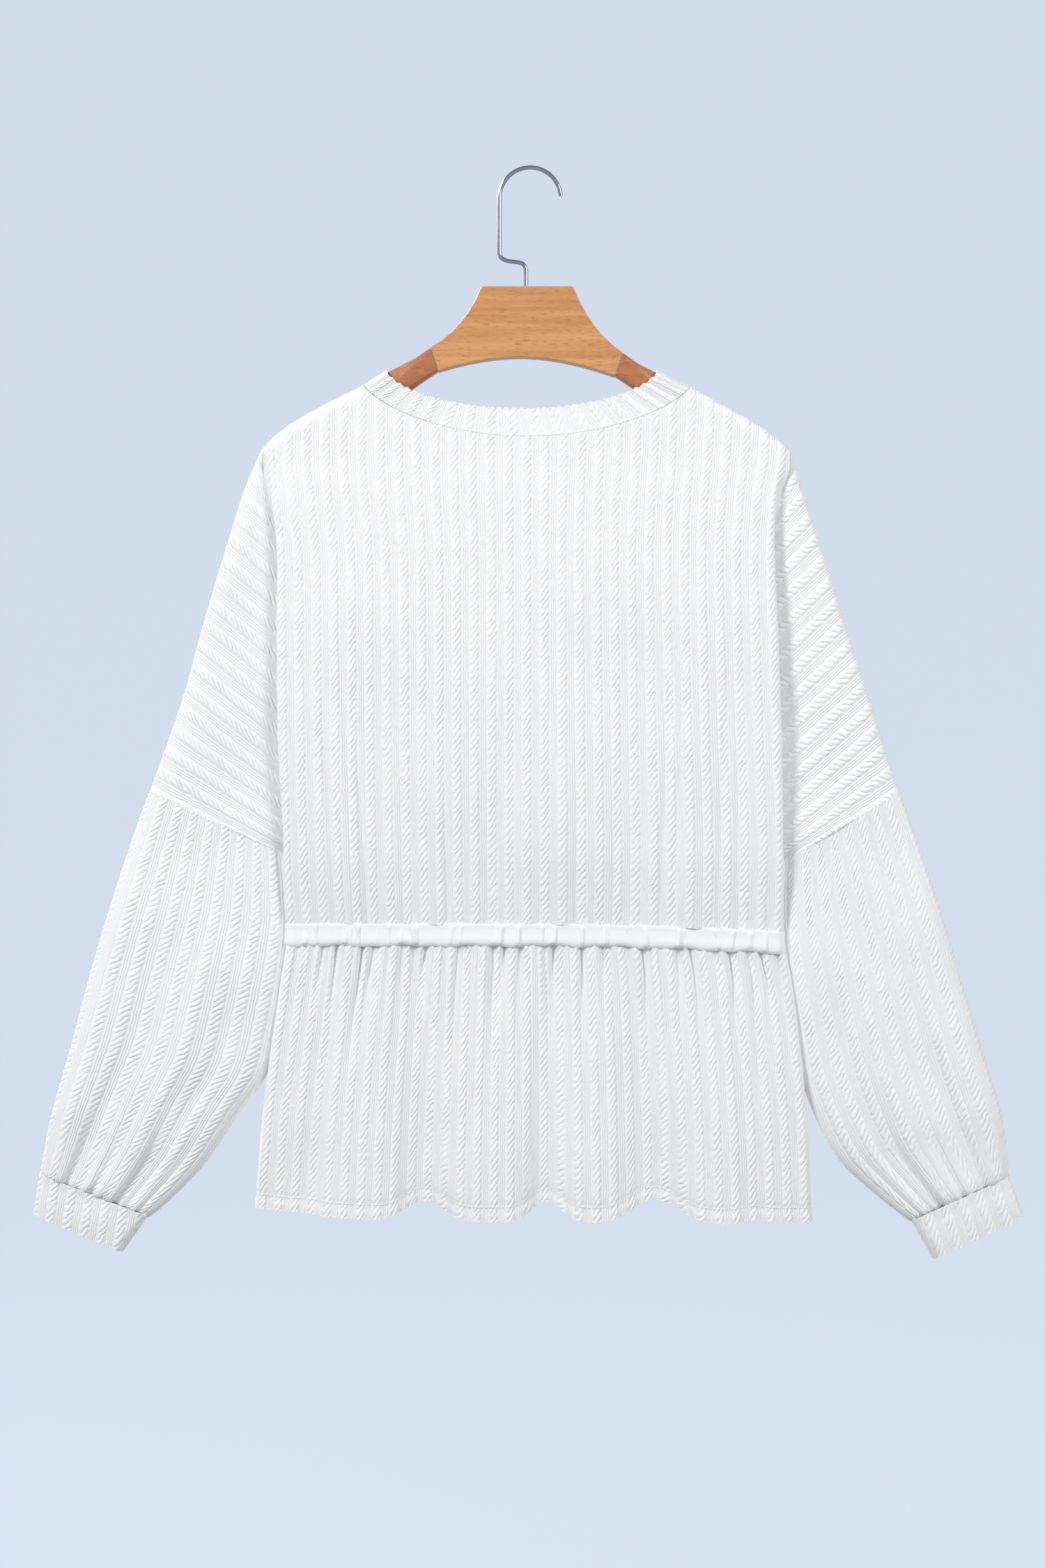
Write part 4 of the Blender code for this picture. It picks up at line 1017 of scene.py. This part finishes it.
def sleeve(name, side):
    cloth = Cloth(name, knit)
    cuff = CUFFS[side]
    t = np.linspace(0.0, 1.0, SLEEVE_ROWS + 1)[:, None]
    outer_down = lerp(SLEEVE_SEAM_OUTER_DROP, OUTLINE[-1].down, t)
    inner_down = lerp(SLEEVE_TOP_INNER_DOWN[side], SLEEVE_INNER[-1].down, t)
    outer_x = outline_x[side](outer_down)
    inner_x = sleeve_inner_x[side](inner_down)
    gather = smooth((t - 0.86) / 0.14)
    outer_x = lerp(outer_x, cuff.outer_top[0], gather)
    outer_down = lerp(outer_down, cuff.outer_top[1], gather)
    inner_x = lerp(inner_x, cuff.inner_top[0], gather)
    inner_down = lerp(inner_down, cuff.inner_top[1], gather)
    length = np.hypot(outer_x - inner_x, outer_down - inner_down)
    depth = lerp(8.5, 12.0, smooth(t * 2.5))
    depth = lerp(depth, 8.0, smooth((t - 0.8) * 5.0))
    parts = []
    for facing, s in zip((BACK, FRONT), ring_shares(SLEEVE_STEPS)):
        s = s[None, :] + 0.0 * t
        half = sleeve_depth(s * length, (1.0 - s) * length, depth)
        half = np.where((s < 1e-9) | (s > 1.0 - 1e-9), 0.0, half)
        inside = np.sin(math.pi * s) ** 0.5
        above = (1.0 - t) * SLEEVE_LENGTH
        change = 0.0 * s
        for fold in LONG_FOLDS:
            place = lerp(fold.top, fold.bottom, t)
            span = smooth((t - fold.first) / 0.25) * smooth((fold.last + 0.08 - t) / 0.1)
            change += fold.height * np.exp(-((s - place) * length / fold.width) ** 2) * span
        for tuck in CUFF_TUCKS:
            lean = tuck.share + (0.5 - tuck.share) * 0.12 * above / 80.0
            away = (s - lean) * length
            width = np.where(away < 0.0, 0.4, 1.2) * tuck.width * (1.0 + above / 60.0)
            fade = np.exp(-(above / tuck.reach) ** 2)
            change -= 1.35 * tuck.depth * np.exp(-(away / width) ** 2) * fade
        change += 2.6 * ridge(above, 16.0, 14.0)
        change += ripple(s * 160.0, above, 61 + side + 3 * facing, 90.0) * 1.6
        half = (half + change * inside) * (1.0 - 0.34 * smooth((t - 0.97) / 0.025))
        x = lerp(outer_x, inner_x, s)
        down = lerp(outer_down, inner_down, s)
        parts.append(np.stack((side * x, facing * half, -down, s), axis=-1))
    ring = np.concatenate(parts, axis=1)
    back_count = SLEEVE_STEPS + 1
    position = ring[..., 3] * SLEEVE_CUT_HALF
    position[:, back_count:] = 2.0 * SLEEVE_CUT_HALF - position[:, back_count:]
    uv = np.stack((-side * position, -t * SLEEVE_LENGTH + 0.0 * position), axis=-1)
    fade = smooth(t / 0.02) * smooth((1.0 - t) / 0.03)
    relief = cable_relief(position) * (0.25 + 0.45 * fade)
    cloth.add(ring[..., :3], uv, relief, 1.0 if side == LEFT else -1.0, closed=True)
    return cloth


CUFF_ROWS = 16
CUFF_STEPS = 44


def cuff(name, side):
    cloth = Cloth(name, knit)
    ends = CUFFS[side]
    t = np.linspace(0.0, 1.0, CUFF_ROWS + 1)[:, None]
    outer_x = lerp(ends.outer_top[0], ends.outer_bottom[0], t)
    outer_down = lerp(ends.outer_top[1] - CUFF_LAP, ends.outer_bottom[1], t)
    inner_x = lerp(ends.inner_top[0], ends.inner_bottom[0], t)
    inner_down = lerp(ends.inner_top[1] - CUFF_LAP, ends.inner_bottom[1], t)
    length = np.hypot(outer_x - inner_x, outer_down - inner_down)
    depth = lerp(7.5, 8.5, np.sin(math.pi * t)) + 0.9 * np.exp(-(t / 0.12) ** 2)
    parts = []
    for facing, s in zip((BACK, FRONT), ring_shares(CUFF_STEPS)):
        s = s[None, :] + 0.0 * t
        rim = np.minimum(s, 1.0 - s) * length
        half = depth * np.sqrt(1.0 - (1.0 - clamp(rim / 9.0)) ** 2)
        uneven = ripple(s * 90.0, t * CUFF_LENGTH, 90 + side + facing, 40.0)
        half = half + uneven * 0.7 * np.sin(math.pi * s)
        x = lerp(outer_x, inner_x, s)
        down = lerp(outer_down, inner_down, s)
        parts.append(np.stack((side * x, facing * half, -down, s * length), axis=-1))
    ring = np.concatenate(parts, axis=1)
    position = ring[..., 3].copy()
    back_count = CUFF_STEPS + 1
    position[:, back_count:] = CUFF_ROUND - position[:, back_count:]
    uv = np.stack((-side * position, -t * CUFF_LENGTH + 0.0 * position), axis=-1)
    seam_roll = 0.5 * ridge(t, 0.04, 0.05)
    groove = -0.5 * ridge(t, 0.16, 0.05)
    end_roll = 0.5 * ridge(t, 0.97, 0.04)
    relief = cable_relief(position) * 0.7 + seam_roll + groove + end_roll
    cloth.add(ring[..., :3], uv, relief, 1.0 if side == LEFT else -1.0, closed=True)
    return cloth


# The waist casing and the peplum

def ring_line(count, angles):
    """Columns from the left tip to the right tip: side, share of the flat part, end angle."""
    flat = np.linspace(-1.0, 1.0, count + 1)
    tip = np.ones(len(angles))
    side = np.concatenate((-tip, np.where(flat < 0.0, -1.0, 1.0), tip))
    share = np.concatenate((tip, np.abs(flat), tip))
    angle = np.concatenate((angles[::-1], np.zeros(count + 1), angles))
    return side, share, np.radians(angle)


def ring_place(side, share, angle, half, depth):
    across = share * (half - FOLD_ROLL) + FOLD_ROLL * np.sin(angle)
    return side * across, depth * thinning(share) * np.cos(angle)


CASING_COLUMNS = 430
CASING_ROWS = 14
CASING_END_ANGLES = np.array((15.0, 30.0, 45.0, 60.0, 75.0, 90.0))
CASING_STEP = 0.98
ProudRow = namedtuple("ProudRow", "down proud")
CASING_SECTION = (
    ProudRow(0.0, 0.6),
    ProudRow(1.5, 1.1),
    ProudRow(4.0, 0.9),
    ProudRow(8.0, 1.3),
    ProudRow(12.5, 2.1),
    ProudRow(15.5, 1.9),
    ProudRow(CASING_HEIGHT, 0.5),
)


def waist_casing():
    cloth = Cloth("waist_casing", plain_cloth)
    side, share, angle = ring_line(CASING_COLUMNS, CASING_END_ANGLES)
    rows = np.linspace(0.0, 1.0, CASING_ROWS + 1)[:, None]
    down = rows * CASING_HEIGHT
    section_down = [row.down for row in CASING_SECTION]
    proud = np.interp(down, section_down, [row.proud for row in CASING_SECTION])
    half = np.where(side < 0.0, BODY[-1].left, BODY[-1].right)
    parts = []
    for facing in (BACK, FRONT):
        order = slice(None) if facing == BACK else slice(-2, 0, -1)
        s, w, a = side[order], share[order], angle[order]
        stand = proud * (1.0 - 0.6 * np.sin(a))
        x, depth = ring_place(s, w, a, half[order], PEPLUM_TOP_DEPTH + stand)
        x = x + s * proud * np.sin(a)
        z = waist_z(x) + CASING_LAP * (1.0 - rows) - down
        gathers = BACK_GATHERS if facing == BACK else FRONT_GATHERS
        folds = 0.0 * x * rows
        for k, g in enumerate(gathers):
            slope = 3.0 * math.sin(2.3 * k)
            strength = 0.45 + 0.55 * abs(math.sin(1.3 * k + 0.4))
            away = x - g - slope * (rows - 0.5)
            folds = folds + strength * np.exp(-(away / np.where(away < 0.0, 1.5, 3.6)) ** 2)
        crimp = np.sin(x * 2.0 * math.pi / 5.3 + 2.0 * np.sin(x / 17.0))
        crimp = crimp * (0.5 + 0.5 * np.sin(x / 23.0 + 1.0))
        puff = 0.9 * np.sin(x * 2.0 * math.pi / 21.0 + 3.0 * np.sin(x / 29.0) + 2.0 * rows)
        wrinkle = -2.5 * np.minimum(folds, 1.0) + 0.5 * crimp + puff
        wrinkle = wrinkle * smooth(rows * 5.0 + 0.15) * smooth((1.0 - rows) * 8.0)
        wander = 0.7 * np.sin(x / 9.0) + 0.5 * np.sin(x / 4.1 + 1.0)
        z = z + wander * smooth((rows - 0.6) * 3.0) - 0.5 * wander * smooth(0.3 - rows)
        parts.append(np.stack((x, facing * depth, z, wrinkle), axis=-1))
    ring = np.concatenate(parts, axis=1)
    position = np.arange(ring.shape[1])[None, :] * CASING_STEP + 0.0 * rows
    uv = np.stack((position, -down + 0.0 * position), axis=-1)
    cloth.add(ring[..., :3], uv, ring[..., 3], 1.0, closed=True)
    return cloth


PEPLUM_COLUMNS = 380
PEPLUM_ROWS = 60
PEPLUM_END_ANGLES = np.array((22.0, 45.0, 68.0, 90.0))
FULLNESS = 1.14


def peplum_surface(facing, fall, side, share, angle):
    """Points, gather depth and cloth coordinates of one peplum panel."""
    waves = BACK_WAVES if facing == BACK else FRONT_WAVES
    gathers = BACK_GATHERS if facing == BACK else FRONT_GATHERS
    top_x = side * share * WAIST_HALF
    place = side * share * lerp(WAIST_HALF, PEPLUM_HALF, fall)
    push = 0.0 * place
    lift = 0.0 * place
    for wave in waves:
        centre = lerp(wave.top_x, wave.hem_x, fall)
        width = wave.width * lerp(0.5, 1.0, fall)
        near = np.abs(place - centre) / width
        shape = np.exp(-near ** 2.6)
        push = push + wave.push * shape * fall ** 1.3
        lift = lift + wave.lift * np.exp(-near ** 2.2) * fall ** 2
    pleat = 0.0 * place
    for k, x in enumerate(gathers):
        reach = 0.35 + 0.3 * (k * 7 % 5) / 4
        spread = clamp(fall / reach)
        lean = 5.0 * math.sin(1.7 * k) * spread
        away = top_x - x - lean
        width = np.where(away < 0.0, lerp(1.6, 5.0, spread), lerp(4.0, 11.0, spread))
        fade = smooth(1.0 - fall / reach)
        pleat = pleat + (3.2 + 0.6 * (k * 3 % 4)) * np.exp(-(away / width) ** 2) * fade
    pleat = np.minimum(pleat, 6.0) * smooth(fall * 12.0 + 0.45)
    minor = 0.7 * np.sin(top_x * 2.0 * math.pi / 7.7 + 2.5 * np.sin(top_x / 31.0))
    minor = minor * (1.0 - fall) ** 5
    top = waist_z(top_x) - CASING_HEIGHT + PEPLUM_TUCK
    hem_tilt = 9.0 * clamp(-place / 225.0) ** 3 - 2.0 * clamp(place / 120.0)
    unlifted = lerp(top, -HEM_DROP + hem_tilt, fall)
    z = unlifted + lift
    if facing == FRONT:
        for wave in BACK_WAVES:
            near = np.abs(place - lerp(wave.top_x, wave.hem_x, fall)) / wave.width
            behind = (wave.lift + 1.0) * np.exp(-near ** 2.2) * fall ** 2
            z = np.maximum(z, unlifted + behind)
    half = np.where(side < 0.0, peplum_x[LEFT](-z), peplum_x[RIGHT](-z))
    base = lerp(PEPLUM_TOP_DEPTH, HEM_FLARE_DEPTH, smooth(fall * 0.9))
    side_thin = lerp(1.0, 0.55, smooth((share - 0.7) / 0.3) * fall)
    x, depth = ring_place(side, share, angle, half, base * side_thin)
    flat = share < 1.0
    soft = ripple(place, z, 23 + facing, 80.0) * 1.4 * fall
    depth = depth - np.where(flat, push + pleat + minor - soft, 0.0)
    depth = np.where(np.abs(angle) > 1.5, HALF_SEAM_GAP, depth)
    run = top_x + side * FOLD_ROLL * angle
    return np.stack((x, facing * depth, z), axis=-1), run + 0.0 * fall, flat


def peplum(name, facing):
    cloth = Cloth(name, knit)
    side, share, angle = ring_line(PEPLUM_COLUMNS, PEPLUM_END_ANGLES)
    fall = np.linspace(0.0, 1.0, PEPLUM_ROWS + 1)[:, None]
    points, run, flat = peplum_surface(facing, fall, side, share, angle)
    down = fall * PEPLUM_LENGTH + 0.0 * run
    position = run * FULLNESS
    relief = cable_relief(position) * np.where(flat, 1.0, 0.0) * (0.4 + 0.6 * smooth(fall * 8.0))
    above_hem = PEPLUM_LENGTH - down
    ruffle = 0.5 * np.sin(position * 2.0 * math.pi / SCALLOP_PITCH)
    stitched = ridge(above_hem, HEM_DEPTH, 1.6)
    relief = relief + ruffle * smooth(1.0 - above_hem / 9.0)
    relief = relief * (1.0 - 0.45 * stitched) - 0.8 * stitched
    relief = relief + 0.35 * smooth((HEM_DEPTH - above_hem) / 3.0)
    uv = np.stack((-facing * position, -down), axis=-1)
    cloth.add(points, uv, relief, -1.0 if facing == BACK else 1.0)
    return cloth


# Stitches

def stitch_tree():
    """Short thread stitches along a line, drawn by the curve's own points."""
    tree = bpy.data.node_groups.new("stitch_row", "GeometryNodeTree")
    face = tree.interface
    face.new_socket("Geometry", in_out="INPUT", socket_type="NodeSocketGeometry")
    sizes = (
        ("Spacing", STITCH_SPACING),
        ("Stitch length", STITCH_LENGTH),
        ("Thread radius", 0.0003),
        ("Jitter", 0.15),
    )
    for label, value in sizes:
        socket = face.new_socket(label, in_out="INPUT", socket_type="NodeSocketFloat")
        socket.default_value = value
    seed = face.new_socket("Seed", in_out="INPUT", socket_type="NodeSocketInt")
    seed.default_value = 7
    paint = face.new_socket("Thread", in_out="INPUT", socket_type="NodeSocketMaterial")
    paint.default_value = thread
    face.new_socket("Geometry", in_out="OUTPUT", socket_type="NodeSocketGeometry")
    nodes = tree.nodes
    link = tree.links.new
    given = nodes.new("NodeGroupInput").outputs
    result = nodes.new("NodeGroupOutput").inputs
    evenly = nodes.new("GeometryNodeResampleCurve")
    evenly.mode = "LENGTH"
    link(given["Geometry"], evenly.inputs["Curve"])
    link(given["Spacing"], evenly.inputs["Length"])
    tangent = nodes.new("GeometryNodeInputTangent")
    aim = nodes.new("FunctionNodeAlignEulerToVector")
    aim.axis = "X"
    link(tangent.outputs[0], aim.inputs["Vector"])
    stitch = nodes.new("GeometryNodeMeshUVSphere")
    stitch.inputs["Segments"].default_value = 6
    stitch.inputs["Rings"].default_value = 4
    stitch.inputs["Radius"].default_value = 0.5
    size = nodes.new("ShaderNodeCombineXYZ")
    across = nodes.new("ShaderNodeMath")
    across.operation = "MULTIPLY"
    across.inputs[1].default_value = 2.0
    link(given["Thread radius"], across.inputs[0])
    link(given["Stitch length"], size.inputs[0])
    link(across.outputs[0], size.inputs[1])
    link(across.outputs[0], size.inputs[2])
    chance = nodes.new("FunctionNodeRandomValue")
    chance.data_type = "FLOAT"
    link(given["Seed"], chance.inputs["Seed"])
    shrink = nodes.new("ShaderNodeMath")
    shrink.operation = "MULTIPLY"
    link(chance.outputs[1], shrink.inputs[0])
    link(given["Jitter"], shrink.inputs[1])
    rest = nodes.new("ShaderNodeMath")
    rest.operation = "SUBTRACT"
    rest.inputs[0].default_value = 1.0
    link(shrink.outputs[0], rest.inputs[1])
    vary = nodes.new("ShaderNodeVectorMath")
    vary.operation = "SCALE"
    link(size.outputs[0], vary.inputs[0])
    link(rest.outputs[0], vary.inputs["Scale"])
    row = nodes.new("GeometryNodeInstanceOnPoints")
    link(evenly.outputs[0], row.inputs["Points"])
    link(stitch.outputs["Mesh"], row.inputs["Instance"])
    link(aim.outputs[0], row.inputs["Rotation"])
    link(vary.outputs[0], row.inputs["Scale"])
    real = nodes.new("GeometryNodeRealizeInstances")
    link(row.outputs[0], real.inputs[0])
    colour = nodes.new("GeometryNodeSetMaterial")
    link(real.outputs[0], colour.inputs["Geometry"])
    link(given["Thread"], colour.inputs["Material"])
    link(colour.outputs[0], result["Geometry"])
    return tree


def stitches(name, lines):
    """One mesh of stitches along several lines of points in millimetres."""
    curve = bpy.data.curves.new(name, "CURVE")
    curve.dimensions = "3D"
    for line in lines:
        spline = curve.splines.new("POLY")
        spline.points.add(len(line) - 1)
        placed = (np.asarray(line) + np.array((PLAN_SHIFT, 0.0, 0.0))) * MM
        spline.points.foreach_set("co", np.column_stack((placed, np.ones(len(line)))).ravel())
    guide = bpy.data.objects.new(name + "_line", curve)
    bpy.context.scene.collection.objects.link(guide)
    modifier = guide.modifiers.new("stitches", "NODES")
    modifier.node_group = stitch_nodes
    sockets = {s.name: s.identifier for s in stitch_nodes.interface.items_tree if s.in_out == "INPUT"}
    modifier[sockets["Spacing"]] = STITCH_SPACING
    modifier[sockets["Stitch length"]] = STITCH_LENGTH
    guide.data.update_tag()
    bpy.context.view_layer.update()
    evaluated = guide.evaluated_get(bpy.context.evaluated_depsgraph_get())
    mesh = bpy.data.meshes.new_from_object(evaluated)
    mesh.name = name
    bpy.data.objects.remove(guide, do_unlink=True)
    layer = mesh.uv_layers.get("cloth") or mesh.uv_layers.new(name="cloth")
    layer.active = True
    piece = bpy.data.objects.new(name, mesh)
    bpy.context.scene.collection.objects.link(piece)
    return piece


def peplum_stitch_line(facing):
    side, share, angle = ring_line(PEPLUM_COLUMNS, PEPLUM_END_ANGLES[:2])
    fall = np.array([[1.0 - HEM_DEPTH / PEPLUM_LENGTH]])
    points = peplum_surface(facing, fall, side, share, angle)[0][0]
    return points + np.array((0.0, facing * 0.6, 0.0))


# The hanger

def bend(start, control, end, steps):
    t = np.linspace(0.0, 1.0, steps + 1)[1:, None]
    start, control, end = (np.array(p) for p in (start, control, end))
    return [tuple(p) for p in (1 - t) ** 2 * start + 2 * t * (1 - t) * control + t * t * end]


def hook_wire():
    stem_x = PLAN_SHIFT - 0.5
    upright_x = -HOOK_RADIUS
    centre_z = WIRE_RADIUS - HOOK_RADIUS
    route = [(stem_x, CENTRE_TOP_Z + 0.3), (stem_x, -84.0)]
    route += bend(route[-1], (stem_x, -77.5), (stem_x - 5.5, -76.5), 8)
    route += [(stem_x - 12.5, -75.5)]
    route += bend(route[-1], (upright_x, -74.5), (upright_x, -68.5), 8)
    route += [(upright_x, -46.0)]
    for k in range(49):
        turn = math.radians(lerp(180.0, 4.0, k / 48))
        route.append((HOOK_RADIUS * math.cos(turn), centre_z + HOOK_RADIUS * math.sin(turn)))
    curve = bpy.data.curves.new("hook_wire", "CURVE")
    curve.dimensions = "3D"
    curve.bevel_depth = WIRE_RADIUS * MM
    curve.bevel_resolution = 5
    curve.use_fill_caps = True
    spline = curve.splines.new("POLY")
    spline.points.add(len(route) - 1)
    for point, (x, z) in zip(spline.points, route):
        point.co = (x * MM, 0.0, z * MM, 1.0)
    guide = bpy.data.objects.new("hook_guide", curve)
    bpy.context.scene.collection.objects.link(guide)
    evaluated = guide.evaluated_get(bpy.context.evaluated_depsgraph_get())
    mesh = bpy.data.meshes.new_from_object(evaluated)
    bpy.data.objects.remove(guide, do_unlink=True)
    mesh.materials.clear()
    mesh.materials.append(wire_chrome)
    mesh.shade_smooth()
    mesh.set_sharp_from_angle(angle=math.radians(50.0))
    piece = bpy.data.objects.new("hook_wire", mesh)
    bpy.context.scene.collection.objects.link(piece)
    return piece


# Putting it together

stitch_nodes = stitch_tree()

Cut = namedtuple("Cut", "width length area")


def dress(cloth, node):
    piece = cloth.finish()
    piece.name = node + "_cloth"
    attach(piece, "root")
    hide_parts(node)


dress(bodice("bodice_back", BACK), "bodice_back")
dress(bodice("bodice_front", FRONT), "bodice_front")
dress(neckband(), "neckband")
for hand in SIDES:
    sleeve_node = "sleeve_" + side_name(hand)
    cuff_node = "cuff_" + side_name(hand)
    dress(sleeve(sleeve_node, hand), sleeve_node)
    dress(cuff(cuff_node, hand), cuff_node)
dress(waist_casing(), "waist_casing")
dress(peplum("peplum_back", BACK), "peplum_back")
dress(peplum("peplum_front", FRONT), "peplum_front")

hem = stitches("hem_stitches", [peplum_stitch_line(BACK), peplum_stitch_line(FRONT)])
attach(hem, "root")

hook = hook_wire()
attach(hook, "root")
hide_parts("hanger_hook")

woods = {
    "hanger_centre": centre_wood,
    "hanger_arm_left": arm_wood,
    "hanger_arm_right": arm_wood,
}
for node, wood in woods.items():
    for slot in frame["nodes"][node].material_slots:
        slot.material = wood


# Stage, light and camera

LIGHT_TARGET = Vector((0.0, 0.0, -0.5))


def area_light(name, place, size, power):
    data = bpy.data.lights.new(name, "AREA")
    data.shape = "DISK"
    data.size = size
    data.energy = power
    light = bpy.data.objects.new(name, data)
    light.location = place
    aim = LIGHT_TARGET - Vector(place)
    light.rotation_euler = aim.to_track_quat("-Z", "Y").to_euler()
    bpy.context.scene.collection.objects.link(light)


def backdrop():
    """A pale floor that curves up into a round wall, glowing a little so that it stays even."""
    low = -1.5
    reach = 6.0
    curve = 2.5
    top = 6.0
    line = [(0.0, low), (reach - curve, low)]
    for k in range(1, 13):
        turn = math.radians(90.0) * k / 12
        line.append((reach - curve + curve * math.sin(turn), low + curve - curve * math.cos(turn)))
    line.append((reach, top))
    steps = 72
    verts = []
    for k in range(steps):
        turn = 2.0 * math.pi * k / steps
        verts += [(r * math.cos(turn), r * math.sin(turn), z) for r, z in line[1:]]
    verts.append((0.0, 0.0, low))
    rings = len(line) - 1
    faces = []
    for k in range(steps):
        n = (k + 1) % steps
        faces.append((len(verts) - 1, k * rings, n * rings))
        for j in range(rings - 1):
            faces.append((k * rings + j, k * rings + j + 1, n * rings + j + 1, n * rings + j))
    mesh = bpy.data.meshes.new("backdrop")
    mesh.from_pydata(verts, [], faces)
    mesh.shade_smooth()
    material, _, shader = new_material("pale_backdrop")
    shader.inputs["Base Color"].default_value = (0.05, 0.055, 0.065, 1.0)
    shader.inputs["Roughness"].default_value = 0.95
    shader.inputs["Emission Color"].default_value = (0.6, 0.67, 0.79, 1.0)
    shader.inputs["Emission Strength"].default_value = 1.0
    mesh.materials.append(material)
    piece = bpy.data.objects.new("backdrop", mesh)
    piece.visible_diffuse = False
    piece.visible_shadow = False
    bpy.context.scene.collection.objects.link(piece)


def world():
    sky = bpy.data.worlds.new("studio")
    sky.use_nodes = True
    light = sky.node_tree.nodes["Background"]
    light.inputs["Color"].default_value = (0.97, 0.98, 1.0, 1.0)
    light.inputs["Strength"].default_value = 0.36
    bpy.context.scene.world = sky


backdrop()
world()
area_light("key", (-2.4, -2.0, 1.5), 1.0, 93.0)
area_light("right", (2.1, -2.1, 0.8), 1.5, 50.0)
area_light("back_key", (-1.6, 1.7, 1.0), 1.4, 50.0)
bpy.context.scene.view_settings.view_transform = "Standard"

camera_data = bpy.data.cameras.new("camera")
camera_data.sensor_fit = "VERTICAL"
camera_data.sensor_height = 36.0
camera_data.sensor_width = 24.0
camera_data.lens = 61.4
camera_data.clip_end = 100.0
camera = bpy.data.objects.new("camera", camera_data)
camera.location = (-0.0063, -2.2, -0.5054)
camera.rotation_euler = (math.radians(90.0), 0.0, 0.0)
bpy.context.scene.collection.objects.link(camera)
bpy.context.scene.camera = camera
